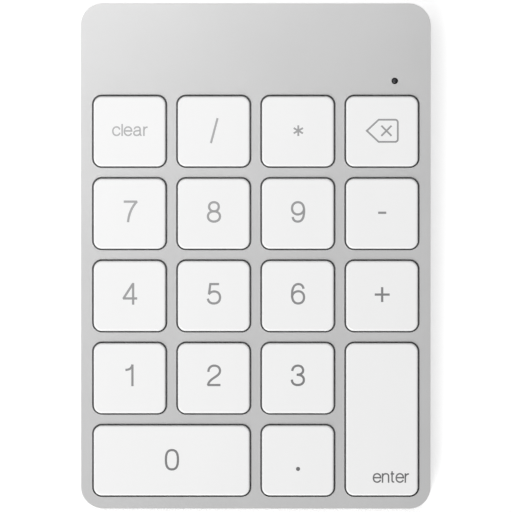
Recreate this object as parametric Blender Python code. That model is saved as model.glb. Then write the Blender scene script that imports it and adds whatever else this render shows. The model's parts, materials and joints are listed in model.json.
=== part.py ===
"""Numeric keypad: a slim, wedge-shaped, wireless keypad with eighteen scissor-switch keys.

Metres, +X to the right, +Y towards the rear edge, +Z up. The origin is on the desk under the
middle of the case, and the four rubber feet stand on Z = 0. The deck slopes down to the front.
What lies along the deck hangs on the empty "deck", whose own Z is the deck's normal and whose
own Z = 0 is the deck's upper surface: depths below the deck are negative heights there.
"""

import math

import bmesh
import bpy
from mathutils import Matrix, Vector

# Key field
KEY_PITCH_X = 0.0190
KEY_PITCH_Y = 0.0186
COLUMNS = 4
ROWS = 5
WEB = 0.0020  # metal between two key wells
KEY_GAP = 0.0004  # between a keycap and its well
WELL_CORNER = 0.0022

# Case
SIDE_MARGIN = 0.0025
FRONT_MARGIN = 0.0027
REAR_STRIP = 0.0206  # deck behind the rear row of wells
DECK_SLOPE = math.radians(2.0)
CASE_CORNER = 0.0050
CASE_WALL = 0.0015
DECK_SHEET = 0.0010
DECK_EDGE = 0.0004  # rounding of the deck's outer edge

# Bottom cover and feet
FOOT_RADIUS = 0.0040
FOOT_HEIGHT = 0.0008  # below the cover
FOOT_EDGE = 0.0003
FOOT_RECESS = 0.0004
FOOT_GLUE_GAP = 0.0002
FOOT_FROM_SIDE = 0.0100
FOOT_FROM_END = 0.0107
COVER_THICKNESS = 0.0011
COVER_GAP = 0.0002  # to the case wall
RIB_THICKNESS = 0.0010
RIB_LEAST_HEIGHT = 0.0005
TONGUE_WIDTH = 0.0080
TONGUE_REACH = 0.0005
TONGUE_THICKNESS = 0.0009
TONGUE_CLEARANCE = 0.0002

# Keycaps
CAP_PROUD = 0.0009  # above the deck
CAP_HEIGHT = 0.0020
CAP_TOP = 0.0008
CAP_WALL = 0.0008
CAP_EDGE = 0.00035
TRAVEL = 0.0015
DOME_PAD_RADIUS = 0.0013
DOME_PAD_HEIGHT = 0.0004

# Layers below the keys
SKIRT_CLEARANCE = 0.0002  # under the pressed keycap
LAYER_GAP = 0.0002
DOME_SHEET = 0.0003
MEMBRANE = 0.00025
PLATE = 0.0005
PLATE_CLEARANCE = 0.0003  # from the plate to the cover and the case walls

# Return domes
DOME_TO_HOOK = 0.0006
DOME_TOP_RADIUS = 0.0012
DOME_WALL = 0.0004
DOME_SIDES = 8

# Scissor levers: two square-section frames pinned at the middle
LEVER_BAR = 0.0008
LEVER_THICKNESS = 0.0006
LEVER_CLEARANCE = 0.0002
LEVER_TO_CAP_WALL = (0.00165, 0.00190)
LEVER_NEST = (0.0003, 0.0002)  # between the outer and the inner lever
PIN_RADIUS = 0.00022
PIN_SIDES = 8

# Hooks that hold the levers and wires
HOOK_X = 0.0026
HOOK_WIDTH = 0.0012
WIDE_HOOK = 0.0040
HOOK_THICKNESS = 0.0005
HOOK_LIP = 0.00025
HOOK_SIDE_GAP = 0.0002
HOOK_LIP_GAP = 0.0001
HOOK_OVERLAP = 0.00045  # how far the lip reaches under the bar, past its middle
SLOT_CLEARANCE = 0.0002

# Stabiliser wires of the two double-size keys
WIRE_RADIUS = 0.00035
WIRE_ARM = 0.0046
WIRE_FOOT = 0.0012
WIRE_TO_CAP_WALL = {"0": 0.00085, "enter": 0.00105}
WIRE_TO_CAP_END = 0.0034
WIRE_CLIP_TO_ARM = 0.0040
WIRE_CLIP_REACH = 0.00125
WIRE_SIDE_GAP = 0.00015
WIRE_LIP_GAP = 0.00010

# Cover screws
SCREW_RADIUS = 0.0007
SCREW_HEAD_RADIUS = 0.0014
SCREW_HEAD = 0.0007
SCREW_SIDES = 16
SCREW_SEAT = 0.0016  # height of the head's underside above the desk
SCREW_CLEARANCE = 0.0002
CROSS_WIDTH = 0.0004
CROSS_DEPTH = 0.0004
PILOT_EXTRA = 0.0003  # pilot hole past the screw's tip
COVER_BOSS_RADIUS = 0.0022
CASE_BOSS_RADIUS = 0.0016
CORNER_SCREW_INSET = 0.0044
CORNER_BOSS_BOTTOM = 0.0036

# Electronics in the rear compartment
BOARD_THICKNESS = 0.0008
BOARD_BOTTOM = 0.0034  # above the desk
BOARD_DEPTH = 0.0154
BOARD_TO_BATTERY = 0.0030
BOARD_SIDE_GAP = 0.0012
SOLDER_GAP = 0.0002
BATTERY_SIZE = (0.0240, 0.0130, 0.0038)
BATTERY_CORNER = 0.0012
BATTERY_FROM_BOSS = 0.0007
BATTERY_LIFT = 0.0003
LEAD_RADIUS = 0.0005
LEAD_SLACK = 0.0006
WALL_TO_BOARD = 0.0011
CONNECTOR_SIZE = (0.0120, 0.0026, 0.0012)
CONNECTOR_FROM_BOARD_END = 0.0080
TAIL_WIDTH = 0.0100
TAIL_THICKNESS = 0.0002

# Charging socket
USB_X = 0.0060
USB_CENTRE_Z = 0.0060
USB_SIZE = (0.00894, 0.0073, 0.00316)
USB_CORNER = 0.0015
USB_WALL = 0.0003
USB_BACK = 0.0010
USB_TONGUE = (0.0067, 0.0044, 0.0007)
USB_RECESS = 0.0005  # from the wall's outer face
USB_GAP = 0.0003

# Power switch
SWITCH_X = 0.0220
SWITCH_TRAVEL = 0.0020
SWITCH_BODY = (0.0085, 0.0034, 0.0026)
SLIDER_KNOB = (0.0040, 0.0020)
SLIDER_FLANGE = 0.0005
SLIDER_OVERLAP = 0.0010
SLIDER_RECESS = 0.0003
SLIDER_GAP = 0.0002
SLIDER_STEM = (0.0012, 0.0010)
SLIDER_STEM_REACH = 0.0012
SLIDER_GRIPS = 3

# Status light
LIGHT_FROM_SIDE = 0.0081
LIGHT_BEHIND_WELLS = 0.0031
LIGHT_HOLE_RADIUS = 0.00072
LIGHT_PIPE_RADIUS = 0.00055
LIGHT_PIPE_RECESS = 0.00030
LIGHT_FLANGE_RADIUS = 0.0012
LIGHT_FLANGE = 0.0005
LED_SIZE = (0.0016, 0.0008, 0.0006)

# Worked out from the values above
WELL_X = KEY_PITCH_X - WEB
WELL_Y = KEY_PITCH_Y - WEB
CASE_WIDTH = (COLUMNS - 1) * KEY_PITCH_X + WELL_X + 2 * SIDE_MARGIN
CASE_LENGTH = (ROWS - 1) * KEY_PITCH_Y + WELL_Y + FRONT_MARGIN + REAR_STRIP
HALF_WIDTH = CASE_WIDTH / 2
HALF_LENGTH = CASE_LENGTH / 2
CAP_CORNER = WELL_CORNER - KEY_GAP
WELLS_REAR = HALF_LENGTH - REAR_STRIP

CAP_INSIDE_X = WELL_X / 2 - KEY_GAP - CAP_WALL
CAP_INSIDE_Y = WELL_Y / 2 - KEY_GAP - CAP_WALL
OUTER_LEVER_HALF = (CAP_INSIDE_X - LEVER_TO_CAP_WALL[0], CAP_INSIDE_Y - LEVER_TO_CAP_WALL[1])
INNER_LEVER_HALF = (
    OUTER_LEVER_HALF[0] - LEVER_BAR - LEVER_NEST[0],
    OUTER_LEVER_HALF[1] - LEVER_BAR - LEVER_NEST[1],
)
LONG_CAP_INSIDE = min(CAP_INSIDE_X + KEY_PITCH_X / 2, CAP_INSIDE_Y + KEY_PITCH_Y / 2)
WIRE_HALF_SPAN = LONG_CAP_INSIDE - WIRE_TO_CAP_END
CAP_CEILING = CAP_PROUD - CAP_TOP
SHEET_TOP = CAP_PROUD - CAP_HEIGHT - TRAVEL - SKIRT_CLEARANCE
SHEET_BOTTOM = SHEET_TOP - DOME_SHEET
MEMBRANE_TOP = SHEET_BOTTOM - LAYER_GAP
MEMBRANE_BOTTOM = MEMBRANE_TOP - MEMBRANE
PLATE_TOP = MEMBRANE_BOTTOM - LAYER_GAP
PLATE_BOTTOM = PLATE_TOP - PLATE
PLATE_FRONT = -HALF_LENGTH + FRONT_MARGIN
PLATE_REAR = WELLS_REAR + 0.0011
PLATE_HALF_WIDTH = HALF_WIDTH - CASE_WALL - PLATE_CLEARANCE

BASE_PIN = SHEET_TOP + LEVER_CLEARANCE + LEVER_THICKNESS / 2
CAP_PIN = CAP_CEILING - LEVER_CLEARANCE - LEVER_THICKNESS / 2
LEVER_RISE = CAP_PIN - BASE_PIN

CORNER_BOSS_RADIUS = CORNER_SCREW_INSET - CASE_WALL + 0.0003  # meets both walls
BOARD_CORNER_CUT = CORNER_BOSS_RADIUS + 0.0005
CASE_BOTTOM = FOOT_HEIGHT
COVER_TOP = CASE_BOTTOM + COVER_THICKNESS
SLOPE_COS = math.cos(DECK_SLOPE)
SLOPE_TAN = math.tan(DECK_SLOPE)
DECK_MIDDLE = COVER_TOP + PLATE_CLEARANCE - PLATE_BOTTOM / SLOPE_COS - PLATE_FRONT * SLOPE_TAN
FRONT_SCREW_Y = WELLS_REAR - 3 * KEY_PITCH_Y + WEB / 2
DECK_UNDER_SCREW = DECK_MIDDLE + FRONT_SCREW_Y * SLOPE_TAN - DECK_SHEET / SLOPE_COS
SCREW_LENGTH = DECK_UNDER_SCREW - SCREW_SEAT - PILOT_EXTRA - SCREW_CLEARANCE
BOARD_TOP = BOARD_BOTTOM + BOARD_THICKNESS
BOARD_REAR = HALF_LENGTH - CASE_WALL - WALL_TO_BOARD
BOARD_FRONT = BOARD_REAR - BOARD_DEPTH
BATTERY_LEFT = -HALF_WIDTH + CORNER_SCREW_INSET + CORNER_BOSS_RADIUS + BATTERY_FROM_BOSS
BOARD_LEFT = BATTERY_LEFT + BATTERY_SIZE[0] + BOARD_TO_BATTERY
BOARD_RIGHT = HALF_WIDTH - CASE_WALL - BOARD_SIDE_GAP
BATTERY_Y = (BOARD_FRONT + BOARD_REAR) / 2
LIGHT_X = HALF_WIDTH - LIGHT_FROM_SIDE
LIGHT_Y = WELLS_REAR + LIGHT_BEHIND_WELLS
TAIL_X = BOARD_LEFT + CONNECTOR_FROM_BOARD_END + CONNECTOR_SIZE[0] / 2

# name, first column, first row from the rear, columns wide, rows tall
KEYS = (
    ("clear", 0, 0, 1, 1),
    ("divide", 1, 0, 1, 1),
    ("multiply", 2, 0, 1, 1),
    ("delete", 3, 0, 1, 1),
    ("7", 0, 1, 1, 1),
    ("8", 1, 1, 1, 1),
    ("9", 2, 1, 1, 1),
    ("minus", 3, 1, 1, 1),
    ("4", 0, 2, 1, 1),
    ("5", 1, 2, 1, 1),
    ("6", 2, 2, 1, 1),
    ("plus", 3, 2, 1, 1),
    ("1", 0, 3, 1, 1),
    ("2", 1, 3, 1, 1),
    ("3", 2, 3, 1, 1),
    ("enter", 3, 3, 1, 2),
    ("0", 0, 4, 2, 1),
    ("decimal", 2, 4, 1, 1),
)

OVERSHOOT = 0.0010  # how far a cutter passes the faces that it cuts
SHARP_ANGLE = math.radians(35)
BITE = 0.0002  # how far a joined shape reaches into its neighbour


# ---------------------------------------------------------------- layout


def key_centre(column, row, wide, tall):
    """The middle of a key, along the deck."""
    left = -HALF_WIDTH + SIDE_MARGIN + column * KEY_PITCH_X
    rear = WELLS_REAR - row * KEY_PITCH_Y
    well_x, well_y = well_size(wide, tall)
    return left + well_x / 2, rear - well_y / 2


def well_size(wide, tall):
    return WELL_X + (wide - 1) * KEY_PITCH_X, WELL_Y + (tall - 1) * KEY_PITCH_Y


def cap_size(wide, tall):
    well_x, well_y = well_size(wide, tall)
    return well_x - 2 * KEY_GAP, well_y - 2 * KEY_GAP


def deck_height(y, depth=0.0):
    """Height above the desk of the plane that lies a depth (negative, under) from the deck."""
    return DECK_MIDDLE + y * SLOPE_TAN + depth / SLOPE_COS


def deck_along(y, depth):
    """Where along the deck an upright line at y passes a depth under it."""
    return (y + depth * math.sin(DECK_SLOPE)) / SLOPE_COS


def screw_places():
    """(x, y, case boss radius, case boss bottom) of the four cover screws."""
    rear_y = HALF_LENGTH - CORNER_SCREW_INSET
    rear_x = HALF_WIDTH - CORNER_SCREW_INSET
    web_x, web_y = KEY_PITCH_X, FRONT_SCREW_Y
    boss_bottom = deck_height(web_y, PLATE_TOP) + PLATE_CLEARANCE
    return {
        "rear_left": (-rear_x, rear_y, CORNER_BOSS_RADIUS, CORNER_BOSS_BOTTOM),
        "rear_right": (rear_x, rear_y, CORNER_BOSS_RADIUS, CORNER_BOSS_BOTTOM),
        "front_left": (-web_x, web_y, CASE_BOSS_RADIUS, boss_bottom),
        "front_right": (web_x, web_y, CASE_BOSS_RADIUS, boss_bottom),
    }


def foot_places():
    x = HALF_WIDTH - FOOT_FROM_SIDE
    y = HALF_LENGTH - FOOT_FROM_END
    return {
        "rear_left": (-x, y),
        "rear_right": (x, y),
        "front_left": (-x, -y),
        "front_right": (x, -y),
    }


# ---------------------------------------------------------------- modelling helpers


def clear_scene():
    for obj in list(bpy.data.objects):
        bpy.data.objects.remove(obj, do_unlink=True)


def new_collection(name):
    collection = bpy.data.collections.new(name)
    bpy.context.scene.collection.children.link(collection)
    return collection


def new_material(name, colour, roughness, metallic=0.0):
    material = bpy.data.materials.new(name)
    material.use_nodes = True
    shader = material.node_tree.nodes["Principled BSDF"]
    shader.inputs["Base Color"].default_value = (*colour, 1.0)
    shader.inputs["Roughness"].default_value = roughness
    shader.inputs["Metallic"].default_value = metallic
    return material


def box(bm, size, centre, corner=0.0, segments=3, along=2):
    """A box whose four edges along one axis are rounded to the corner radius."""
    verts = bmesh.ops.create_cube(bm, size=1.0)["verts"]
    bmesh.ops.scale(bm, vec=size, verts=verts)
    bmesh.ops.translate(bm, vec=centre, verts=verts)
    if corner:
        made = set(verts)
        edges = []
        for edge in bm.edges:
            run = edge.verts[1].co - edge.verts[0].co
            if edge.verts[0] in made and abs(run[along]) > 0.99 * run.length:
                edges.append(edge)
        bmesh.ops.bevel(
            bm,
            geom=edges,
            offset=corner,
            offset_type="OFFSET",
            segments=segments,
            profile=0.5,
            affect="EDGES",
        )


def cylinder(bm, radius, start, end, sides=16, end_radius=None):
    """A cylinder, or with an end radius a cone, between two points."""
    start, end = Vector(start), Vector(end)
    run = end - start
    turn = run.to_track_quat("Z", "Y").to_matrix().to_4x4()
    bmesh.ops.create_cone(
        bm,
        cap_ends=True,
        segments=sides,
        radius1=radius,
        radius2=radius if end_radius is None else end_radius,
        depth=run.length,
        matrix=Matrix.Translation((start + end) / 2) @ turn,
    )


def frame(bm, half_size, bar, thickness, matrix):
    """A flat rectangular frame of square-cut bars."""
    verts = bmesh.ops.create_cube(bm, size=1.0)["verts"]
    bmesh.ops.scale(bm, vec=(2 * half_size[0], 2 * half_size[1], thickness), verts=verts)
    faces = [f for f in bm.faces if f.verts[0] in verts and abs(f.normal.z) > 0.5]
    bmesh.ops.inset_individual(bm, faces=faces, thickness=bar, use_even_offset=True)
    rims = [e for f in faces for e in f.edges]
    inner = {v for f in faces for v in f.verts}
    bmesh.ops.delete(bm, geom=faces, context="FACES_ONLY")
    bmesh.ops.bridge_loops(bm, edges=rims)
    bmesh.ops.transform(bm, matrix=matrix, verts=list(verts) + list(inner))


def outline_mesh(points, thickness):
    """The mesh of a flat outline extruded along its own Z, from a filled 2D curve."""
    curve = bpy.data.curves.new("outline", "CURVE")
    curve.dimensions = "2D"
    curve.fill_mode = "BOTH"
    curve.extrude = thickness / 2
    spline = curve.splines.new("POLY")
    spline.points.add(len(points) - 1)
    for point, (x, y) in zip(spline.points, points):
        point.co = (x, y, 0.0, 1.0)
    spline.use_cyclic_u = True
    return mesh_of_curve(curve)


def mesh_of_curve(curve):
    """A closed mesh of a curve, which is then removed."""
    obj = bpy.data.objects.new("curve", curve)
    bpy.context.scene.collection.objects.link(obj)
    bpy.context.view_layer.update()
    evaluated = obj.evaluated_get(bpy.context.evaluated_depsgraph_get())
    mesh = bpy.data.meshes.new_from_object(evaluated)
    bpy.data.objects.remove(obj)
    bm = bmesh.new()
    bm.from_mesh(mesh)
    bmesh.ops.remove_doubles(bm, verts=bm.verts, dist=1e-6)
    bmesh.ops.recalc_face_normals(bm, faces=bm.faces)
    bm.to_mesh(mesh)
    bm.free()
    return mesh


def add_mesh(bm, mesh, matrix):
    """A placed copy of a mesh."""
    placed = mesh.copy()
    placed.transform(matrix)
    if matrix.determinant() < 0:
        placed.flip_normals()
    bm.from_mesh(placed)
    bpy.data.meshes.remove(placed)


def add_bmesh(bm, other):
    """Adds another bmesh, which is then freed."""
    mesh = bpy.data.meshes.new("piece")
    other.to_mesh(mesh)
    other.free()
    bm.from_mesh(mesh)
    bpy.data.meshes.remove(mesh)


def place(name, data, collection, material=None, parent=None, location=(0, 0, 0)):
    """An object for a bmesh, a mesh or a curve."""
    if isinstance(data, bmesh.types.BMesh):
        mesh = bpy.data.meshes.new(name)
        data.to_mesh(mesh)
        data.free()
        data = mesh
    if isinstance(data, bpy.types.Mesh):
        data.shade_smooth()
        data.set_sharp_from_angle(angle=SHARP_ANGLE)
    obj = bpy.data.objects.new(name, data)
    collection.objects.link(obj)
    obj.parent = parent
    obj.location = location
    if material and not data.materials:
        data.materials.append(material)
    return obj


def tool(name, bm, tools, parent=None):
    """A shape that only cuts or joins, and isn't a part."""
    obj = place(name, bm, tools, parent=parent)
    obj.hide_render = True
    obj.display_type = "WIRE"
    return obj


def combine(obj, operation, other):
    """A Boolean modifier: DIFFERENCE or UNION with another object."""
    modifier = obj.modifiers.new(other.name, "BOOLEAN")
    modifier.operation = operation
    modifier.object = other


def finished_mesh(obj):
    """The evaluated mesh of an object at the origin, which is then removed."""
    bpy.context.view_layer.update()
    evaluated = obj.evaluated_get(bpy.context.evaluated_depsgraph_get())
    mesh = bpy.data.meshes.new_from_object(evaluated)
    bpy.data.objects.remove(obj)
    return mesh


def wedge(inset, bottom, depth):
    """The case's outline moved in by an inset, from a level bottom up to a plane at a depth
    from the deck. Returns the bmesh and the edges of its sloping top."""
    bm = bmesh.new()
    height = 2 * DECK_MIDDLE
    size = (CASE_WIDTH - 2 * inset, CASE_LENGTH - 2 * inset, height)
    box(bm, size, (0, 0, bottom + height / 2), CASE_CORNER - inset, segments=8)
    return bm, slope_top(bm, depth)


def slope_top(bm, depth):
    """Cuts everything above the plane at a depth from the deck, and closes the cut."""
    cut = bmesh.ops.bisect_plane(
        bm,
        geom=bm.verts[:] + bm.edges[:] + bm.faces[:],
        plane_co=(0, 0, deck_height(0, depth)),
        plane_no=(0, -math.sin(DECK_SLOPE), SLOPE_COS),
        clear_outer=True,
    )
    rim = [e for e in cut["geom_cut"] if isinstance(e, bmesh.types.BMEdge)]
    bmesh.ops.contextual_create(bm, geom=rim)
    return rim


# ---------------------------------------------------------------- hooks and slots


def hook_outline(root, near, far, thickness, reach):
    """An L in (along, up): its leg stands behind 0 and its lip reaches forward past 0."""
    return (
        (0.0, root),
        (0.0, near),
        (reach, near),
        (reach, far),
        (-thickness, far),
        (-thickness, root),
    )


def upright(x, y, facing):
    """Stands an outline up, centred on x, its forward side facing +Y (1) or -Y (-1)."""
    columns = ((0, facing, 0), (0, 0, 1), (1, 0, 0))
    turn = Matrix([[columns[c][r] for c in range(3)] for r in range(3)]).to_4x4()
    return Matrix.Translation((x, y, 0)) @ turn


def lever_bars():
    """Along-deck distance from the key's middle to the outer and the inner lever's end bars,
    and the two levers' angles at rest."""
    found = []
    for half in (OUTER_LEVER_HALF[1], INNER_LEVER_HALF[1]):
        arm = half - LEVER_BAR / 2
        angle = math.asin(LEVER_RISE / 2 / arm)
        found.append((arm * math.cos(angle), angle))
    return found


def lever_hook_places(at_base):
    """(y of the leg's face, facing) of the hooks on the outer and the inner lever's bars.

    The outer lever is low in front and high behind, and the inner lever the other way. A leg
    stands outside the outer lever's bar and inside the inner lever's, so that nothing on the
    keycap meets the other lever when the key is down."""
    (outer_y, _), (inner_y, _) = lever_bars()
    side = -1 if at_base else 1
    outside = outer_y + LEVER_BAR / 2 + HOOK_SIDE_GAP
    inside = inner_y - LEVER_BAR / 2 - HOOK_SIDE_GAP
    return ((side * outside, -side), (-side * inside, -side))


def dome_radius():
    """The widest dome that stays clear of the inner lever's hooks."""
    leg_y = lever_hook_places(at_base=True)[1][0] - HOOK_THICKNESS
    return math.hypot(HOOK_X - HOOK_WIDTH / 2, leg_y) - DOME_TO_HOOK


def lever_play():
    """Half the height of a tilted bar."""
    steepest = max(angle for _, angle in lever_bars())
    return LEVER_THICKNESS / 2 + LEVER_BAR / 2 * math.sin(steepest)


def lever_hooks(outer_hook, inner_hook, at_base):
    """(mesh, placing) of a key's lever hooks: a wide one on the outer lever's bar, and one at
    each side on the inner lever's."""
    (outer_y, outer_way), (inner_y, inner_way) = lever_hook_places(at_base)
    yield outer_hook, upright(0, outer_y, outer_way)
    for side in (-1, 1):
        yield inner_hook, upright(side * HOOK_X, inner_y, inner_way)


def lever_hook_reach():
    return LEVER_BAR / 2 + HOOK_SIDE_GAP + HOOK_OVERLAP


def turned_key(name):
    """The stabiliser of the tall key runs along the deck, so its pieces are turned."""
    return Matrix.Rotation(math.radians(-90 if name == "enter" else 0), 4, "Z")


def wire_offset(name):
    """From the key's middle to the wire's bar, across the long key."""
    inside = CAP_INSIDE_X if name == "enter" else CAP_INSIDE_Y
    return inside - WIRE_TO_CAP_WALL[name]


def wire_pivot(name):
    """From the key's middle to the axis at the base that the wire turns about."""
    return wire_offset(name) - math.sqrt(WIRE_ARM**2 - LEVER_RISE**2)


def stabilised():
    return [key for key in KEYS if max(key[3], key[4]) > 1]


def base_hooks():
    """The hooks that stand up from the base plate."""
    near = BASE_PIN + lever_play() + HOOK_LIP_GAP
    root = PLATE_TOP - BITE
    outline = hook_outline(root, near, near + HOOK_LIP, HOOK_THICKNESS, lever_hook_reach())
    hooks = outline_mesh(outline, WIDE_HOOK), outline_mesh(outline, HOOK_WIDTH)
    bm = bmesh.new()
    for _, *cell in KEYS:
        at = Matrix.Translation((*key_centre(*cell), 0))
        for hook, placing in lever_hooks(*hooks, at_base=True):
            add_mesh(bm, hook, at @ placing)
    near = BASE_PIN + WIRE_RADIUS + WIRE_LIP_GAP
    reach = 2 * WIRE_RADIUS + WIRE_SIDE_GAP
    outline = hook_outline(root, near, near + HOOK_LIP, HOOK_THICKNESS, reach)
    wire_hook = outline_mesh(outline, WIRE_FOOT - 2 * WIRE_SIDE_GAP)
    for name, *cell in stabilised():
        turn = Matrix.Translation((*key_centre(*cell), 0)) @ turned_key(name)
        for side in (-1, 1):
            hook = upright(*wire_hook_place(name, side), 1)
            add_mesh(bm, wire_hook, turn @ hook)
    return bm


def wire_hook_place(name, side):
    """Where a wire's foot is held, before it is turned: x of the hook, y of its leg's face."""
    x = side * (WIRE_HALF_SPAN + WIRE_RADIUS + WIRE_FOOT / 2)
    return x, wire_pivot(name) - WIRE_RADIUS - WIRE_SIDE_GAP


def slot_box(bm, size, centre, matrix, bottom, top):
    """An upright cutter for a hook's leg, its centre and size turned with the key."""
    middle = matrix @ Vector((*centre, 0))
    across = matrix.to_3x3() @ Vector((*size, 0))
    grown = [abs(across[axis]) + 2 * SLOT_CLEARANCE for axis in (0, 1)]
    box(bm, (*grown, top - bottom), (middle.x, middle.y, (top + bottom) / 2))


def sheet_cutter(bottom, top):
    """Slots and holes that let the hooks and the case bosses through a sheet."""
    bm = bmesh.new()
    for _, column, row, wide, tall in KEYS:
        at = Matrix.Translation((*key_centre(column, row, wide, tall), 0))
        (outer_y, outer_way), (inner_y, inner_way) = lever_hook_places(at_base=True)
        outer_middle = (0.0, outer_y - outer_way * HOOK_THICKNESS / 2)
        slot_box(bm, (WIDE_HOOK, HOOK_THICKNESS), outer_middle, at, bottom, top)
        for side in (-1, 1):
            inner_middle = (side * HOOK_X, inner_y - inner_way * HOOK_THICKNESS / 2)
            slot_box(bm, (HOOK_WIDTH, HOOK_THICKNESS), inner_middle, at, bottom, top)
    for name, *cell in stabilised():
        turn = Matrix.Translation((*key_centre(*cell), 0)) @ turned_key(name)
        for side in (-1, 1):
            x, leg_y = wire_hook_place(name, side)
            middle = (x, leg_y - HOOK_THICKNESS / 2)
            slot_box(bm, (WIRE_FOOT, HOOK_THICKNESS), middle, turn, bottom, top)
    for x, y, radius, _ in front_screws():
        along = deck_along(y, (bottom + top) / 2)
        cylinder(bm, radius + SLOT_CLEARANCE, (x, along, bottom), (x, along, top))
    return bm


def front_screws():
    places = screw_places()
    return [places["front_left"], places["front_right"]]


# ---------------------------------------------------------------- case


def make_top_case(parts, tools, deck, material):
    bm, rim = wedge(0.0, CASE_BOTTOM, 0.0)
    bmesh.ops.bevel(
        bm,
        geom=rim,
        offset=DECK_EDGE,
        offset_type="OFFSET",
        segments=2,
        profile=0.5,
        affect="EDGES",
    )
    case = place("top_case", bm, parts, material)
    cavity, _ = wedge(CASE_WALL, CASE_BOTTOM - OVERSHOOT, -DECK_SHEET)
    combine(case, "DIFFERENCE", tool("case_cavity", cavity, tools))

    bosses = bmesh.new()
    for x, y, radius, bottom in screw_places().values():
        top = deck_height(y, -DECK_SHEET / 2)
        cylinder(bosses, radius, (x, y, bottom), (x, y, top))
    combine(case, "UNION", tool("case_bosses", bosses, tools))

    upright_cuts = bmesh.new()
    for x, y, _, bottom in screw_places().values():
        top = SCREW_SEAT + SCREW_LENGTH + PILOT_EXTRA
        cylinder(upright_cuts, pilot_radius(), (x, y, bottom - OVERSHOOT), (x, y, top))
    usb_cut = [USB_SIZE[0] + 2 * USB_GAP, 2 * CASE_WALL, USB_SIZE[2] + 2 * USB_GAP]
    wall_y = HALF_LENGTH - CASE_WALL / 2
    corner = USB_CORNER + USB_GAP
    box(upright_cuts, usb_cut, (USB_X, wall_y, USB_CENTRE_Z), corner, 4, along=1)
    slot = slider_slot()
    switch_cut = (slot[0], 2 * CASE_WALL, slot[1])
    corner = slot[1] / 2 - SLIDER_GAP
    middle = (SWITCH_X + SWITCH_TRAVEL / 2, wall_y, USB_CENTRE_Z)
    box(upright_cuts, switch_cut, middle, corner, 4, along=1)
    for x in tongue_places():
        size = (
            TONGUE_WIDTH + 2 * TONGUE_CLEARANCE,
            2 * (TONGUE_REACH + TONGUE_CLEARANCE),
            TONGUE_THICKNESS + 2 * TONGUE_CLEARANCE,
        )
        box(upright_cuts, size, (x, -HALF_LENGTH + CASE_WALL, tongue_middle()))
    combine(case, "DIFFERENCE", tool("case_openings", upright_cuts, tools))

    wells = bmesh.new()
    deep = 2 * DECK_SHEET + OVERSHOOT
    for _, column, row, wide, tall in KEYS:
        x, y = key_centre(column, row, wide, tall)
        box(wells, (*well_size(wide, tall), deep), (x, y, OVERSHOOT - deep / 2), WELL_CORNER)
    light = (LIGHT_X, LIGHT_Y)
    cylinder(wells, LIGHT_HOLE_RADIUS, (*light, -2 * DECK_SHEET), (*light, OVERSHOOT))
    combine(case, "DIFFERENCE", tool("key_wells", wells, tools, deck))


def pilot_radius():
    return SCREW_RADIUS + SCREW_CLEARANCE


def tongue_places():
    return (-KEY_PITCH_X, KEY_PITCH_X)


def tongue_middle():
    """Half of a tongue stands above the cover, so that its groove lies clear of the rim."""
    return COVER_TOP


def slider_slot():
    """Width and height of the opening that the slider's knob moves in."""
    return (
        SLIDER_KNOB[0] + SWITCH_TRAVEL + 2 * SLIDER_GAP,
        SLIDER_KNOB[1] + 2 * SLIDER_GAP,
    )


def make_bottom_cover(parts, tools, material):
    bm = bmesh.new()
    inset = CASE_WALL + COVER_GAP
    size = (CASE_WIDTH - 2 * inset, CASE_LENGTH - 2 * inset, COVER_THICKNESS)
    middle = (0, 0, CASE_BOTTOM + COVER_THICKNESS / 2)
    box(bm, size, middle, CASE_CORNER - inset, segments=6)
    cover = place("bottom_cover", bm, parts, material)
    combine(cover, "UNION", tool("cover_ribs", cover_ribs(), tools))

    raised = bmesh.new()
    for x, y, _, boss_bottom in screw_places().values():
        top = min(boss_bottom, deck_height(y, PLATE_BOTTOM)) - PLATE_CLEARANCE
        cylinder(raised, COVER_BOSS_RADIUS, (x, y, COVER_TOP - BITE), (x, y, top))
    for x in tongue_places():
        length = 2 * (TONGUE_REACH + COVER_GAP)
        front = -HALF_LENGTH + CASE_WALL + COVER_GAP
        box(raised, (TONGUE_WIDTH, length, TONGUE_THICKNESS), (x, front, tongue_middle()))
    combine(cover, "UNION", tool("cover_bosses", raised, tools))

    cuts = bmesh.new()
    low = CASE_BOTTOM - OVERSHOOT
    head = SCREW_HEAD_RADIUS + SCREW_CLEARANCE
    seat = SCREW_SEAT + SCREW_CLEARANCE
    for x, y, _, boss_bottom in screw_places().values():
        high = boss_bottom + OVERSHOOT
        hole = bmesh.new()
        profile = (
            (0.0, low),
            (head, low),
            (head, seat),
            (pilot_radius(), seat),
            (pilot_radius(), high),
            (0.0, high),
        )
        spin_profile(hole, profile, SCREW_SIDES)
        bmesh.ops.translate(hole, vec=(x, y, 0), verts=hole.verts)
        add_bmesh(cuts, hole)
    for x, y in foot_places().values():
        radius = FOOT_RADIUS + FOOT_GLUE_GAP
        cylinder(cuts, radius, (x, y, low), (x, y, CASE_BOTTOM + FOOT_RECESS), sides=24)
    combine(cover, "DIFFERENCE", tool("cover_holes", cuts, tools))


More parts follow.
